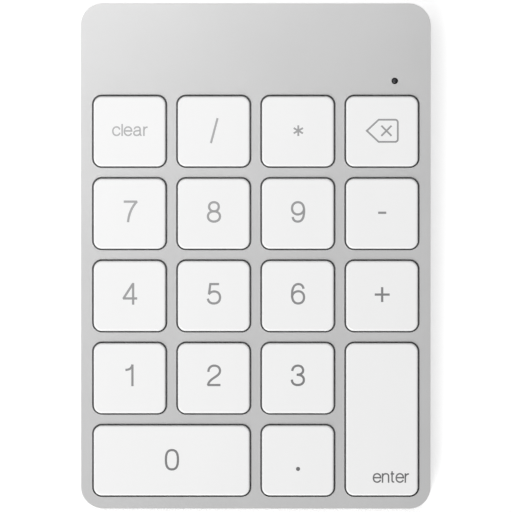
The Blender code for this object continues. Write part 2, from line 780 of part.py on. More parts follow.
def cover_ribs():
    """Ribs under the base plate, cut to its slope, and level rests under the board and cell."""
    bm = bmesh.new()
    clear = PLATE_BOTTOM - PLATE_CLEARANCE
    rib_front = PLATE_FRONT + RIB_LEAST_HEIGHT / SLOPE_TAN
    length = PLATE_REAR - rib_front
    for column in range(COLUMNS):
        x, _ = key_centre(column, 0, 1, 1)
        low = COVER_TOP - BITE
        size = (RIB_THICKNESS, length, 2 * DECK_MIDDLE)
        box(bm, size, (x, rib_front + length / 2, low + DECK_MIDDLE))
    slope_top(bm, clear)
    board_rest = BOARD_BOTTOM - SOLDER_GAP
    for x in (BOARD_LEFT + 2 * RIB_THICKNESS, USB_X + USB_SIZE[0], SWITCH_X + SWITCH_BODY[0]):
        size = (RIB_THICKNESS, BOARD_DEPTH / 2, board_rest - COVER_TOP + BITE)
        box(bm, size, (x, BATTERY_Y, (board_rest + COVER_TOP - BITE) / 2))
    for side in (-1, 1):
        x = BATTERY_LEFT + BATTERY_SIZE[0] / 2
        y = BATTERY_Y + side * (BATTERY_SIZE[1] / 2 + RIB_THICKNESS)
        size = (BATTERY_SIZE[0] / 2, RIB_THICKNESS, 2 * RIB_THICKNESS)
        box(bm, size, (x, y, COVER_TOP + RIB_THICKNESS - BITE))
    return bm


def make_feet(parts, material):
    bm = bmesh.new()
    top = CASE_BOTTOM + FOOT_RECESS - FOOT_GLUE_GAP
    cylinder(bm, FOOT_RADIUS, (0, 0, 0), (0, 0, top), sides=24)
    rim = [e for e in bm.edges if all(v.co.z < FOOT_EDGE for v in e.verts)]
    bmesh.ops.bevel(
        bm, geom=rim, offset=FOOT_EDGE, offset_type="OFFSET", segments=2, profile=0.5, affect="EDGES"
    )
    mesh = bpy.data.meshes.new("foot")
    bm.to_mesh(mesh)
    bm.free()
    for where, (x, y) in foot_places().items():
        place("foot_" + where, mesh, parts, material, location=(x, y, 0))


def make_screws(parts, tools, material):
    """One screw with a cross recess, used four times, its head down in the cover."""
    bm = bmesh.new()
    profile = (
        (0.0, -SCREW_HEAD),
        (SCREW_HEAD_RADIUS - SCREW_CLEARANCE, -SCREW_HEAD),
        (SCREW_HEAD_RADIUS, -SCREW_HEAD / 2),
        (SCREW_HEAD_RADIUS, 0.0),
        (SCREW_RADIUS, 0.0),
        (SCREW_RADIUS, SCREW_LENGTH - SCREW_RADIUS),
        (0.0, SCREW_LENGTH),
    )
    spin_profile(bm, profile, SCREW_SIDES)
    blank = place("screw", bm, tools, material)
    depth = 2 * CROSS_DEPTH
    for size in ((SCREW_HEAD_RADIUS, CROSS_WIDTH), (CROSS_WIDTH, SCREW_HEAD_RADIUS)):
        arm = bmesh.new()
        box(arm, (*size, depth), (0, 0, -SCREW_HEAD))
        combine(blank, "DIFFERENCE", tool("cross_recess", arm, tools))
    mesh = finished_mesh(blank)
    for where, (x, y, _, _) in screw_places().items():
        place("cover_screw_" + where, mesh, parts, material, location=(x, y, SCREW_SEAT))


def spin_profile(bm, profile, sides):
    """Turns an open profile, whose two ends lie on the Z axis, into a closed solid."""
    verts = [bm.verts.new((radius, 0, height)) for radius, height in profile]
    edges = [bm.edges.new(pair) for pair in zip(verts, verts[1:])]
    bmesh.ops.spin(
        bm,
        geom=verts + edges,
        cent=(0, 0, 0),
        axis=(0, 0, 1),
        angle=math.tau,
        steps=sides,
        use_merge=True,
    )
    bmesh.ops.remove_doubles(bm, verts=bm.verts, dist=1e-6)
    bmesh.ops.recalc_face_normals(bm, faces=bm.faces)


# ---------------------------------------------------------------- keys


def make_keycaps(parts, tools, deck, material):
    """Eighteen caps. Those of one size share a mesh, apart from the two long ones."""
    plain = None
    for name, column, row, wide, tall in KEYS:
        if (wide, tall) != (1, 1):
            mesh = keycap_mesh(name, wide, tall, tools, material)
        else:
            plain = plain or keycap_mesh(name, wide, tall, tools, material)
            mesh = plain
        x, y = key_centre(column, row, wide, tall)
        place("keycap_" + name, mesh, parts, material, deck, (x, y, 0))


def keycap_mesh(name, wide, tall, tools, material):
    """A hollow cap with the clips for its levers and wire, its origin on the key's axis."""
    bm = bmesh.new()
    size = (*cap_size(wide, tall), CAP_HEIGHT)
    box(bm, size, (0, 0, CAP_PROUD - CAP_HEIGHT / 2), CAP_CORNER, segments=3)
    under = [f for f in bm.faces if f.normal.z < -0.5]
    bmesh.ops.inset_region(bm, faces=under, thickness=CAP_WALL, use_even_offset=True)
    pushed = bmesh.ops.extrude_face_region(bm, geom=under)
    inside = [v for v in pushed["geom"] if isinstance(v, bmesh.types.BMVert)]
    bmesh.ops.translate(bm, vec=(0, 0, CAP_HEIGHT - CAP_TOP), verts=inside)
    bmesh.ops.delete(bm, geom=[f for f in under if f.is_valid], context="FACES_ONLY")
    rim = [e for e in bm.edges if all(v.co.z > CAP_PROUD - CAP_EDGE for v in e.verts)]
    bmesh.ops.bevel(
        bm, geom=rim, offset=CAP_EDGE, offset_type="OFFSET", segments=2, profile=0.5, affect="EDGES"
    )
    blank = place("cap", bm, tools, material)
    combine(blank, "UNION", tool("cap_fittings", cap_fittings(name, wide, tall), tools))
    return finished_mesh(blank)


def cap_fittings(name, wide, tall):
    """The clips under a cap, and the pad that pushes its dome."""
    root = CAP_CEILING + BITE
    near = CAP_PIN - lever_play() - HOOK_LIP_GAP
    outline = hook_outline(root, near, near - HOOK_LIP, HOOK_THICKNESS, lever_hook_reach())
    clips = outline_mesh(outline, WIDE_HOOK), outline_mesh(outline, HOOK_WIDTH)
    bm = bmesh.new()
    for clip, placing in lever_hooks(*clips, at_base=False):
        add_mesh(bm, clip, placing)
    pad_bottom = CAP_CEILING - DOME_PAD_HEIGHT
    cylinder(bm, DOME_PAD_RADIUS, (0, 0, pad_bottom), (0, 0, root), sides=8)
    if max(wide, tall) > 1:
        near = CAP_PIN - WIRE_RADIUS - WIRE_LIP_GAP
        far = near - HOOK_LIP
        outline = hook_outline(root, near, far, HOOK_THICKNESS, WIRE_CLIP_REACH)
        wire_clip = outline_mesh(outline, HOOK_WIDTH)
        leg_y = wire_offset(name) - WIRE_RADIUS - WIRE_SIDE_GAP
        for side in (-1, 1):
            clip = upright(side * (WIRE_HALF_SPAN - WIRE_CLIP_TO_ARM), leg_y, 1)
            add_mesh(bm, wire_clip, turned_key(name) @ clip)
    return bm


def make_scissors(parts, tools, deck, material):
    """One scissor linkage, used under every key: two frames joined by their middle pins."""
    (_, outer_angle), (_, inner_angle) = lever_bars()
    middle = Matrix.Translation((0, 0, (BASE_PIN + CAP_PIN) / 2))
    bm = bmesh.new()
    for half, angle in ((OUTER_LEVER_HALF, outer_angle), (INNER_LEVER_HALF, -inner_angle)):
        tilt = middle @ Matrix.Rotation(angle, 4, "X")
        frame(bm, half, LEVER_BAR, LEVER_THICKNESS, tilt)
    bmesh.ops.recalc_face_normals(bm, faces=bm.faces)
    levers = place("scissor", bm, tools, material)
    pins = bmesh.new()
    height = (BASE_PIN + CAP_PIN) / 2
    for side in (-1, 1):
        start = side * (INNER_LEVER_HALF[0] - LEVER_BAR / 2)
        end = side * (OUTER_LEVER_HALF[0] - LEVER_BAR / 2)
        cylinder(pins, PIN_RADIUS, (start, 0, height), (end, 0, height), PIN_SIDES)
    combine(levers, "UNION", tool("lever_pins", pins, tools))
    mesh = finished_mesh(levers)
    for name, *cell in KEYS:
        place("scissor_" + name, mesh, parts, material, deck, (*key_centre(*cell), 0))


def make_stabilisers(parts, deck, material):
    """A bent wire for each long key, its origin on the axis that it turns about."""
    half = WIRE_HALF_SPAN
    run = math.sqrt(WIRE_ARM**2 - LEVER_RISE**2)
    foot = half + WIRE_RADIUS + WIRE_FOOT
    path = (
        (-foot, 0.0, 0.0),
        (-half, 0.0, 0.0),
        (-half, run, LEVER_RISE),
        (half, run, LEVER_RISE),
        (half, 0.0, 0.0),
        (foot, 0.0, 0.0),
    )
    for name, *cell in stabilised():
        curve = bpy.data.curves.new("stabilizer_" + name, "CURVE")
        curve.dimensions = "3D"
        curve.bevel_depth = WIRE_RADIUS
        curve.bevel_resolution = 2
        curve.use_fill_caps = True
        spline = curve.splines.new("POLY")
        points = eased(path, 2 * WIRE_RADIUS)
        spline.points.add(len(points) - 1)
        for point, position in zip(spline.points, points):
            point.co = (*position, 1.0)
        turn = turned_key(name)
        pivot = turn @ Vector((0, wire_pivot(name), BASE_PIN)) + Vector((*key_centre(*cell), 0))
        wire = place("stabilizer_" + name, curve, parts, material, deck, pivot)
        wire.rotation_euler = turn.to_euler()


def eased(path, radius):
    """The path with each inner corner replaced by three points of a short bend."""
    points = [Vector(path[0])]
    for before, corner, after in zip(path, path[1:], path[2:]):
        corner = Vector(corner)
        start = corner + (Vector(before) - corner).normalized() * radius
        end = corner + (Vector(after) - corner).normalized() * radius
        points += [start, (start + end + 2 * corner) / 4, end]
    points.append(Vector(path[-1]))
    return points


# ---------------------------------------------------------------- layers under the keys


def plate_box(bottom, top, inset=0.0):
    """A flat layer under the whole key field."""
    bm = bmesh.new()
    length = PLATE_REAR - PLATE_FRONT - 2 * inset
    size = (2 * (PLATE_HALF_WIDTH - inset), length, top - bottom)
    middle = (0, (PLATE_REAR + PLATE_FRONT) / 2, (top + bottom) / 2)
    box(bm, size, middle, CASE_CORNER - CASE_WALL - inset, segments=4)
    return bm


def make_dome_sheet(parts, tools, deck, material):
    bm = plate_box(SHEET_BOTTOM, SHEET_TOP, inset=KEY_GAP)
    sheet = place("dome_sheet", bm, parts, material, deck)
    cuts = sheet_cutter(SHEET_BOTTOM - OVERSHOOT, SHEET_TOP + OVERSHOOT)
    base_radius = dome_radius()
    mouth = base_radius - DOME_WALL / 2
    for _, *cell in KEYS:
        x, y = key_centre(*cell)
        start = (x, y, SHEET_BOTTOM - OVERSHOOT)
        cylinder(cuts, mouth, start, (x, y, SHEET_TOP + OVERSHOOT), DOME_SIDES)
    combine(sheet, "DIFFERENCE", tool("dome_sheet_slots", cuts, tools, deck))

    dome = bmesh.new()
    foot = (SHEET_BOTTOM + SHEET_TOP) / 2
    top = CAP_CEILING - DOME_PAD_HEIGHT - LAYER_GAP
    under = top - DOME_WALL
    profile = (
        (0.0, top),
        (DOME_TOP_RADIUS, top),
        (base_radius, SHEET_TOP),
        (base_radius, foot),
        (base_radius - DOME_WALL, foot),
        (DOME_TOP_RADIUS - DOME_WALL / 2, under),
        (0.0, under),
    )
    spin_profile(dome, profile, DOME_SIDES)
    mesh = bpy.data.meshes.new("dome")
    dome.to_mesh(mesh)
    dome.free()
    domes = bmesh.new()
    for _, *cell in KEYS:
        add_mesh(domes, mesh, Matrix.Translation((*key_centre(*cell), 0)))
    combine(sheet, "UNION", tool("domes", domes, tools, deck))


def make_membrane(parts, tools, deck, material):
    bm = plate_box(MEMBRANE_BOTTOM, MEMBRANE_TOP)
    membrane = place("membrane", bm, parts, material, deck)
    cuts = sheet_cutter(MEMBRANE_BOTTOM - OVERSHOOT, MEMBRANE_TOP + OVERSHOOT)
    combine(membrane, "DIFFERENCE", tool("membrane_slots", cuts, tools, deck))
    combine(membrane, "UNION", tool("membrane_tail", membrane_tail(), tools))


def membrane_tail():
    """The tongue that leaves the membrane's rear edge and bends down to its connector."""
    middle = (MEMBRANE_TOP + MEMBRANE_BOTTOM) / 2
    start = PLATE_REAR - 5 * MEMBRANE
    end = BOARD_FRONT + CONNECTOR_SIZE[1] / 2
    high = deck_height(start, middle)
    bend = deck_height(PLATE_REAR, middle)
    low = connector_mouth()
    half = TAIL_THICKNESS / 2
    line = (
        (start, high),
        (PLATE_REAR + 2 * half, bend),
        ((PLATE_REAR + end) / 2, (bend + low) / 2),
        (end - CONNECTOR_SIZE[1] / 2, low),
        (end, low),
    )
    outline = [(y, z + half) for y, z in line]
    outline += [(y, z - half) for y, z in reversed(line)]
    bm = bmesh.new()
    add_mesh(bm, outline_mesh(outline, TAIL_WIDTH), upright(TAIL_X, 0, 1))
    return bm


def connector_mouth():
    return BOARD_TOP + SOLDER_GAP + CONNECTOR_SIZE[2] / 2


def make_base_plate(parts, tools, deck, material):
    bm = plate_box(PLATE_BOTTOM, PLATE_TOP)
    plate = place("base_plate", bm, parts, material, deck)
    combine(plate, "UNION", tool("plate_hooks", base_hooks(), tools, deck))
    cuts = bmesh.new()
    for x, y, _, _ in front_screws():
        along = deck_along(y, (PLATE_BOTTOM + PLATE_TOP) / 2)
        start = (x, along, PLATE_BOTTOM - OVERSHOOT)
        cylinder(cuts, pilot_radius(), start, (x, along, PLATE_TOP + OVERSHOOT))
    combine(plate, "DIFFERENCE", tool("plate_holes", cuts, tools, deck))


# ---------------------------------------------------------------- electronics


def make_controller_board(parts, tools, material):
    bm = bmesh.new()
    size = (BOARD_RIGHT - BOARD_LEFT, BOARD_DEPTH, BOARD_THICKNESS)
    middle = ((BOARD_LEFT + BOARD_RIGHT) / 2, BATTERY_Y, (BOARD_TOP + BOARD_BOTTOM) / 2)
    box(bm, size, middle)
    board = place("controller_board", bm, parts, material)
    chips = bmesh.new()
    chip_y = BOARD_FRONT + 0.0075
    for x, (length, width, height) in (
        (USB_X + 0.0140, (0.0060, 0.0060, 0.0009)),
        (USB_X + 0.0205, (0.0032, 0.0025, 0.0008)),
        (USB_X - 0.0060, (0.0030, 0.0030, 0.0008)),
    ):
        size = (length, width, height + BITE)
        box(chips, size, (x, chip_y, BOARD_TOP + (height - BITE) / 2))
    combine(board, "UNION", tool("board_chips", chips, tools))
    x, y, _, _ = screw_places()["rear_right"]
    notch = bmesh.new()
    start = (x, y, BOARD_BOTTOM - OVERSHOOT)
    cylinder(notch, BOARD_CORNER_CUT, start, (x, y, BOARD_TOP + OVERSHOOT))
    combine(board, "DIFFERENCE", tool("board_notch", notch, tools))


def make_battery(parts, material, lead_material):
    bm = bmesh.new()
    length, width, height = BATTERY_SIZE
    bottom = COVER_TOP + BATTERY_LIFT
    middle = (BATTERY_LEFT + length / 2, BATTERY_Y, bottom + height / 2)
    box(bm, BATTERY_SIZE, middle, BATTERY_CORNER, segments=3, along=0)
    place("battery", bm, parts, material)

    curve = bpy.data.curves.new("battery_lead", "CURVE")
    curve.dimensions = "3D"
    curve.bevel_depth = LEAD_RADIUS
    curve.bevel_resolution = 2
    curve.use_fill_caps = True
    start = Vector((BATTERY_LEFT + length + BITE, BATTERY_Y, bottom + height / 2))
    end = Vector((BOARD_LEFT + 2 * RIB_THICKNESS, BATTERY_Y, BOARD_TOP + LEAD_RADIUS + SOLDER_GAP))
    middle = (start + end) / 2 + Vector((0, 0, LEAD_SLACK))
    low = Vector((start.x + LEAD_RADIUS, start.y, start.z))
    points = eased((start, low + Vector((BITE, 0, 0)), middle, end - Vector((0.001, 0, 0)), end), BITE)
    spline = curve.splines.new("POLY")
    spline.points.add(len(points) - 1)
    for point, position in zip(spline.points, points):
        point.co = (*position, 1.0)
    place("battery_lead", curve, parts, lead_material)


def make_tail_connector(parts, tools, material):
    bm = bmesh.new()
    bottom = BOARD_TOP + SOLDER_GAP
    y = BOARD_FRONT + CONNECTOR_SIZE[1] / 2
    box(bm, CONNECTOR_SIZE, (TAIL_X, y + LAYER_GAP, bottom + CONNECTOR_SIZE[2] / 2))
    connector = place("tail_connector", bm, parts, material)
    mouth = bmesh.new()
    size = (TAIL_WIDTH + 4 * LAYER_GAP, CONNECTOR_SIZE[1], TAIL_THICKNESS + 2 * LAYER_GAP)
    box(mouth, size, (TAIL_X, BOARD_FRONT + LAYER_GAP, connector_mouth()))
    combine(connector, "DIFFERENCE", tool("connector_mouth", mouth, tools))


def make_usb_socket(parts, tools, material):
    rear = HALF_LENGTH - USB_RECESS
    width, length, height = USB_SIZE
    bm = bmesh.new()
    box(bm, USB_SIZE, (USB_X, rear - length / 2, USB_CENTRE_Z), USB_CORNER, 4, along=1)
    socket = place("usb_socket", bm, parts, material)
    inside = bmesh.new()
    hollow = (width - 2 * USB_WALL, length, height - 2 * USB_WALL)
    middle = (USB_X, rear - length / 2 + USB_BACK, USB_CENTRE_Z)
    box(inside, hollow, middle, USB_CORNER - USB_WALL, 4, along=1)
    combine(socket, "DIFFERENCE", tool("usb_hollow", inside, tools))
    tongue = bmesh.new()
    back = rear - length + USB_BACK
    middle = (USB_X, back + (USB_TONGUE[1] - BITE) / 2, USB_CENTRE_Z)
    box(tongue, (USB_TONGUE[0], USB_TONGUE[1] + BITE, USB_TONGUE[2]), middle)
    combine(socket, "UNION", tool("usb_tongue", tongue, tools))


def make_power_switch(parts, tools, metal, plastic):
    """The fixed switch body, and the slider whose knob shows in the rear wall."""
    wall = HALF_LENGTH - CASE_WALL
    flange_front = wall - SLIDER_GAP - SLIDER_FLANGE
    body_rear = flange_front - SLIDER_GAP
    middle_x = SWITCH_X + SWITCH_TRAVEL / 2
    bottom = BOARD_TOP + SOLDER_GAP
    bm = bmesh.new()
    box(bm, SWITCH_BODY, (middle_x, body_rear - SWITCH_BODY[1] / 2, bottom + SWITCH_BODY[2] / 2))
    body = place("power_switch", bm, parts, metal)
    groove = bmesh.new()
    size = (
        SLIDER_STEM[0] + SWITCH_TRAVEL + 2 * SLIDER_GAP,
        2 * (SLIDER_STEM_REACH + SLIDER_GAP),
        SLIDER_STEM[1] + 2 * SLIDER_GAP,
    )
    box(groove, size, (middle_x, body_rear, USB_CENTRE_Z))
    combine(body, "DIFFERENCE", tool("switch_groove", groove, tools))

    knob_rear = HALF_LENGTH - SLIDER_RECESS
    bm = bmesh.new()
    slot_x, slot_z = slider_slot()
    flange = (slot_x + SWITCH_TRAVEL + 2 * SLIDER_OVERLAP, SLIDER_FLANGE, slot_z + SLIDER_OVERLAP)
    box(bm, flange, (0, flange_front + SLIDER_FLANGE / 2, 0))
    slider = place("power_slider", bm, parts, plastic, location=(SWITCH_X, 0, USB_CENTRE_Z))
    grown = bmesh.new()
    knob_front = flange_front + SLIDER_FLANGE - BITE
    size = (SLIDER_KNOB[0], knob_rear - knob_front, SLIDER_KNOB[1])
    corner = SLIDER_KNOB[1] / 2 - SLIDER_GAP
    box(grown, size, (0, (knob_rear + knob_front) / 2, 0), corner, 4, along=1)
    stem_front = body_rear - SLIDER_STEM_REACH
    stem_rear = flange_front + BITE
    size = (SLIDER_STEM[0], stem_rear - stem_front, SLIDER_STEM[1])
    box(grown, size, (0, (stem_rear + stem_front) / 2, 0))
    grown_tool = tool("slider_knob", grown, tools)
    grown_tool.location = slider.location
    combine(slider, "UNION", grown_tool)
    grips = bmesh.new()
    for number in range(SLIDER_GRIPS):
        x = (number - (SLIDER_GRIPS - 1) / 2) * 2 * SLIDER_GAP * 2
        box(grips, (SLIDER_GAP, 2 * SLIDER_GAP, 2 * SLIDER_KNOB[1]), (x, knob_rear, 0))
    grips_tool = tool("slider_grips", grips, tools)
    grips_tool.location = slider.location
    combine(slider, "DIFFERENCE", grips_tool)


def make_status_light(parts, deck, led_material, pipe_material):
    bm = bmesh.new()
    bottom = BOARD_TOP + SOLDER_GAP
    box(bm, LED_SIZE, (LIGHT_X, LIGHT_Y, bottom + LED_SIZE[2] / 2))
    place("status_led", bm, parts, led_material)
    bm = bmesh.new()
    led_top = bottom + LED_SIZE[2]
    low = (led_top + PLATE_CLEARANCE - deck_height(LIGHT_Y)) * SLOPE_COS
    flange = -DECK_SHEET - LAYER_GAP
    profile = (
        (0.0, -LIGHT_PIPE_RECESS),
        (LIGHT_PIPE_RADIUS, -LIGHT_PIPE_RECESS),
        (LIGHT_PIPE_RADIUS, flange),
        (LIGHT_FLANGE_RADIUS, flange),
        (LIGHT_FLANGE_RADIUS, flange - LIGHT_FLANGE),
        (LIGHT_PIPE_RADIUS, flange - LIGHT_FLANGE),
        (LIGHT_PIPE_RADIUS, low),
        (0.0, low),
    )
    spin_profile(bm, profile, 16)
    place("light_pipe", bm, parts, pipe_material, deck, (LIGHT_X, LIGHT_Y, 0))


# ---------------------------------------------------------------- the keypad


def main():
    clear_scene()
    parts = new_collection("numeric_keypad")
    tools = new_collection("tools")
    deck = bpy.data.objects.new("deck", None)
    parts.objects.link(deck)
    deck.location = (0, 0, DECK_MIDDLE)
    deck.rotation_euler = (DECK_SLOPE, 0, 0)

    aluminium = new_material("silver_aluminium", (0.68, 0.68, 0.69), 0.38, 1.0)
    cap_plastic = new_material("white_keycap", (0.90, 0.90, 0.91), 0.35)
    cover_plastic = new_material("white_cover", (0.85, 0.85, 0.86), 0.45)
    lever_plastic = new_material("lever_plastic", (0.80, 0.80, 0.78), 0.5)
    silicone = new_material("dome_silicone", (0.75, 0.76, 0.78), 0.6)
    film = new_material("membrane_film", (0.55, 0.62, 0.60), 0.3)
    steel = new_material("bright_steel", (0.62, 0.62, 0.63), 0.3, 1.0)
    board_green = new_material("board_laminate", (0.03, 0.20, 0.10), 0.4)
    cell_wrap = new_material("cell_wrap", (0.60, 0.62, 0.65), 0.35)
    lead_sleeve = new_material("lead_sleeve", (0.05, 0.05, 0.05), 0.5)
    black_plastic = new_material("black_plastic", (0.03, 0.03, 0.03), 0.45)
    clear_plastic = new_material("clear_lens", (0.10, 0.11, 0.12), 0.1)
    led_body = new_material("led_body", (0.85, 0.85, 0.75), 0.3)
    rubber = new_material("foot_rubber", (0.62, 0.62, 0.63), 0.8)

    make_top_case(parts, tools, deck, aluminium)
    make_bottom_cover(parts, tools, cover_plastic)
    make_feet(parts, rubber)
    make_screws(parts, tools, steel)
    make_keycaps(parts, tools, deck, cap_plastic)
    make_scissors(parts, tools, deck, lever_plastic)
    make_stabilisers(parts, deck, steel)
    make_dome_sheet(parts, tools, deck, silicone)
    make_membrane(parts, tools, deck, film)
    make_base_plate(parts, tools, deck, steel)
    make_controller_board(parts, tools, board_green)
    make_battery(parts, cell_wrap, lead_sleeve)
    make_tail_connector(parts, tools, black_plastic)
    make_usb_socket(parts, tools, steel)
    make_power_switch(parts, tools, steel, black_plastic)
    make_status_light(parts, deck, led_body, clear_plastic)


main()
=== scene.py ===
"""Numeric keypad: the fine visible pieces of a slim wireless keypad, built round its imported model.

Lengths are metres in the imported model's frame: +X to the right, +Y to the rear, +Z up. Pieces that
follow the sloping deck are made in deck coordinates, where Z = 0 is the deck's upper surface, and
are then turned with DECK. Angles are radians.
"""

import json
import math

import bmesh
import bpy
from bpy.props import FloatProperty, FloatVectorProperty, PointerProperty
from mathutils import Matrix, Vector


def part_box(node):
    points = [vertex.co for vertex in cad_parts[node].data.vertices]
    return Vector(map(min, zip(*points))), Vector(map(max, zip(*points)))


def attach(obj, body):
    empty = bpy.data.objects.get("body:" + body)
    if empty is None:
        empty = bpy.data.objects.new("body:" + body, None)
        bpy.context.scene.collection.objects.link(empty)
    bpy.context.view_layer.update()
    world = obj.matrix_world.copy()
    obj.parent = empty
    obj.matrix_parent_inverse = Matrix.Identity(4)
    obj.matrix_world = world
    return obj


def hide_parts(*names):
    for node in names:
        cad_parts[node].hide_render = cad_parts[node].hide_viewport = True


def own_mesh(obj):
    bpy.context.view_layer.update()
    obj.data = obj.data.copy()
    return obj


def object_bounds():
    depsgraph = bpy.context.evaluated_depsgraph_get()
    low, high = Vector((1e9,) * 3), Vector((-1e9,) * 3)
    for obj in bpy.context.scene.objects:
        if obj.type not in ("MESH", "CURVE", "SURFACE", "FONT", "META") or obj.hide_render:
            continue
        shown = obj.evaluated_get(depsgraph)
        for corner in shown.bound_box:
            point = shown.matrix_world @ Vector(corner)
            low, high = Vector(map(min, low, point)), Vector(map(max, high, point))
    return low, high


bl_info = {
    "name": "Numeric Keypad",
    "version": (1, 0, 0),
    "blender": (4, 5, 0),
    "location": "View3D > Sidebar > Keypad",
    "description": "Builds the visible pieces and finishes of a slim numeric keypad",
    "category": "Add Mesh",
}

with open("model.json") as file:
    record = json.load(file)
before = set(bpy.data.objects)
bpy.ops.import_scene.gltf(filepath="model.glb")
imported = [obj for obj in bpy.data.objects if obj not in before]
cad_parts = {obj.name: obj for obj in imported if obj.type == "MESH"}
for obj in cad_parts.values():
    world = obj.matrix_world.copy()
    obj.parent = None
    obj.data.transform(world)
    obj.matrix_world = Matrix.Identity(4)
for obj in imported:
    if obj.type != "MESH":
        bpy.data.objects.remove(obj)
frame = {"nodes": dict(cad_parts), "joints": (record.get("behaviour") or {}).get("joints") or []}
CAD_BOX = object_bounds()
NODES = frame["nodes"]
JOINTS = {joint["name"]: joint for joint in frame["joints"]}
KEY_NAMES = [name[len("keycap_") :] for name in sorted(NODES) if name.startswith("keycap_")]
PRESS_AXIS = Vector(JOINTS["key_7_press"]["axis"])
DECK_NORMAL = -PRESS_AXIS
TRAVEL = JOINTS["key_7_press"]["range_m"][1]
DECK_SLOPE = math.atan2(PRESS_AXIS.y, -PRESS_AXIS.z)
LEVEL_TO_DECK = Matrix.Rotation(DECK_SLOPE, 4, "X")


def corners(points):
    """The lowest and highest corner of the box round some points, and its middle."""
    axes = range(len(points[0]))
    low = Vector([min(point[axis] for point in points) for axis in axes])
    high = Vector([max(point[axis] for point in points) for axis in axes])
    return low, high, (low + high) / 2


def span(node, placing=None):
    """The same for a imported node, as it stands or in the coordinates of a placing."""
    if placing is None:
        return corners(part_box(node))
    back = placing.inverted()
    return corners([back @ vertex.co for vertex in NODES[node].data.vertices])


DECK_MIDDLE = span("top_case", LEVEL_TO_DECK)[1].z / math.cos(DECK_SLOPE)
DECK = Matrix.Translation((0, 0, DECK_MIDDLE)) @ LEVEL_TO_DECK
CASE_LOW, CASE_HIGH, CASE_CENTRE = span("top_case")
CAP_TOP_HEIGHT = span("keycap_7", DECK)[1].z
PLATE_TOP_HEIGHT = span("base_plate", DECK)[1].z
SHEET_LOW, SHEET_HIGH, SHEET_CENTRE = span("dome_sheet", DECK)
LEVER_LOW, LEVER_HIGH, LEVER_CENTRE = span("scissor_7", DECK)
CORNERS = ("rear_left", "rear_right", "front_left", "front_right")


# ---------------------------------------------------------------- fixed sizes

WELD = 1e-7  # closer points are one
NEAR = 1e-6  # closer to an end is at the end

# Openings of the case
OPENING_GAP = 0.0003  # round the socket
OPENING_FLAT = 0.00005  # half of what stays straight at the opening's ends
SLOT_GAP = 0.0002  # round the power knob
SLOT_ROUNDING = 0.35  # corner radius over the height
LIGHT_HOLE = 0.00072
KNOB_LENGTH = 0.0040
KNOB_HEIGHT = 0.0020

# Posts inside the case that take the cover's screws
REAR_BOSS = 0.0032
FRONT_BOSS = 0.0016
REAR_BOSS_BOTTOM = 0.0033
BOSS_CLEARANCE = 0.0003
BOSS_BITE = 0.0003  # how far a post is sunk into the deck
PILOT = 0.00078

# Under the keycaps; heights are deck coordinates
SKIRT_HEIGHT = 0.0020
CAP_TOP = 0.0008  # as packed
CAP_CEILING = CAP_TOP_HEIGHT - CAP_TOP
PAD_RADIUS = 0.0013
PAD_HEIGHT = 0.0004
BITE = 0.00005  # how far a fitting is sunk into the cap that it hangs from
CLIP_LEG = 0.0005
CLIP_LIP = 0.00025
CLIP_WIDTH = 0.0012
WIDE_CLIP = 0.0040
INNER_CLIP_X = 0.0026
WIRE_CLIP_X = 0.0090
# (distance of the leg from the key's middle, height of the lip's upper face, reach of the lip)
OUTER_CLIP = (0.005305, -0.0009, 0.00105)
INNER_CLIP = (0.003079, -0.0009, 0.00105)
WIRE_CLIP = (0.00575, -0.00085, 0.00125)

# Levers and domes
LEVER_BAR = 0.0008
LEVER_THICKNESS = 0.0006
LEVER_ROUNDING = 0.6  # corner radius over the bar's width
LEVER_NEST = 0.0003  # between the outer and the inner lever
LEVER_PLAY = 0.0001
DOME_TOP = 0.0012
DOME_FLAT = 0.8  # of the top's radius
DOME_BASE = 0.0026
DOME_WALL = 0.0004
DOME_EDGE = 0.0001
DOME_SWELL = 0.10
DOME_TO_PAD = 0.0002
DOME_TO_SHEET = 0.00002
SHEET_THICKNESS = 0.0003
SHEET_TOP = SHEET_LOW.z + SHEET_THICKNESS
SHEET_CORNER = 0.003
HOLE_FLAT = 1e-5  # half of what stays straight round a nearly round hole
SLOT_DEPTH = 0.0010
SLOT_CORNER = 0.0002
THROUGH = 0.0020  # height of a cutter that passes through the sheet
# (x, y, width) of the slots that let the plate's hooks through, from the key's middle
HOOK_SLOTS = ((-0.0026, 0.00285, 0.0017), (0.0026, 0.00285, 0.0017), (0, -0.00555, 0.0046))

# Status light
LENS_TOP = -0.00006
LENS_GAP = 0.00010
LENS_ARC = 45  # degrees that the lens's dome turns through
LENS_GLINT = (0.0006, 0.0002)  # where the painted glint begins, and where it is at full strength
FLANGE_TOP = -0.0012
FLANGE_BOTTOM = -0.0017
GLINT_PLACE = (-0.00015, 0.00008, LENS_TOP)  # middle of the painted glint, from the lens's axis

# Feet and cover screws
FOOT_FLAT = 0.86  # of the foot's radius
SCREW_HEAD = 0.0007
SCREW_CROWN = 0.55  # of the head's height
SCREW_SHANK = 0.0007
SCREW_NECK = 0.0003
THREAD_DEPTH = 0.00012
THREAD_PITCH = 0.0004
CROSS_WIDTH = 0.0004
CROSS_DEPTH = 0.00045
CROSS_REACH = 1.15  # the cross's length over the head's radius
CROSS_TAPER = 0.6

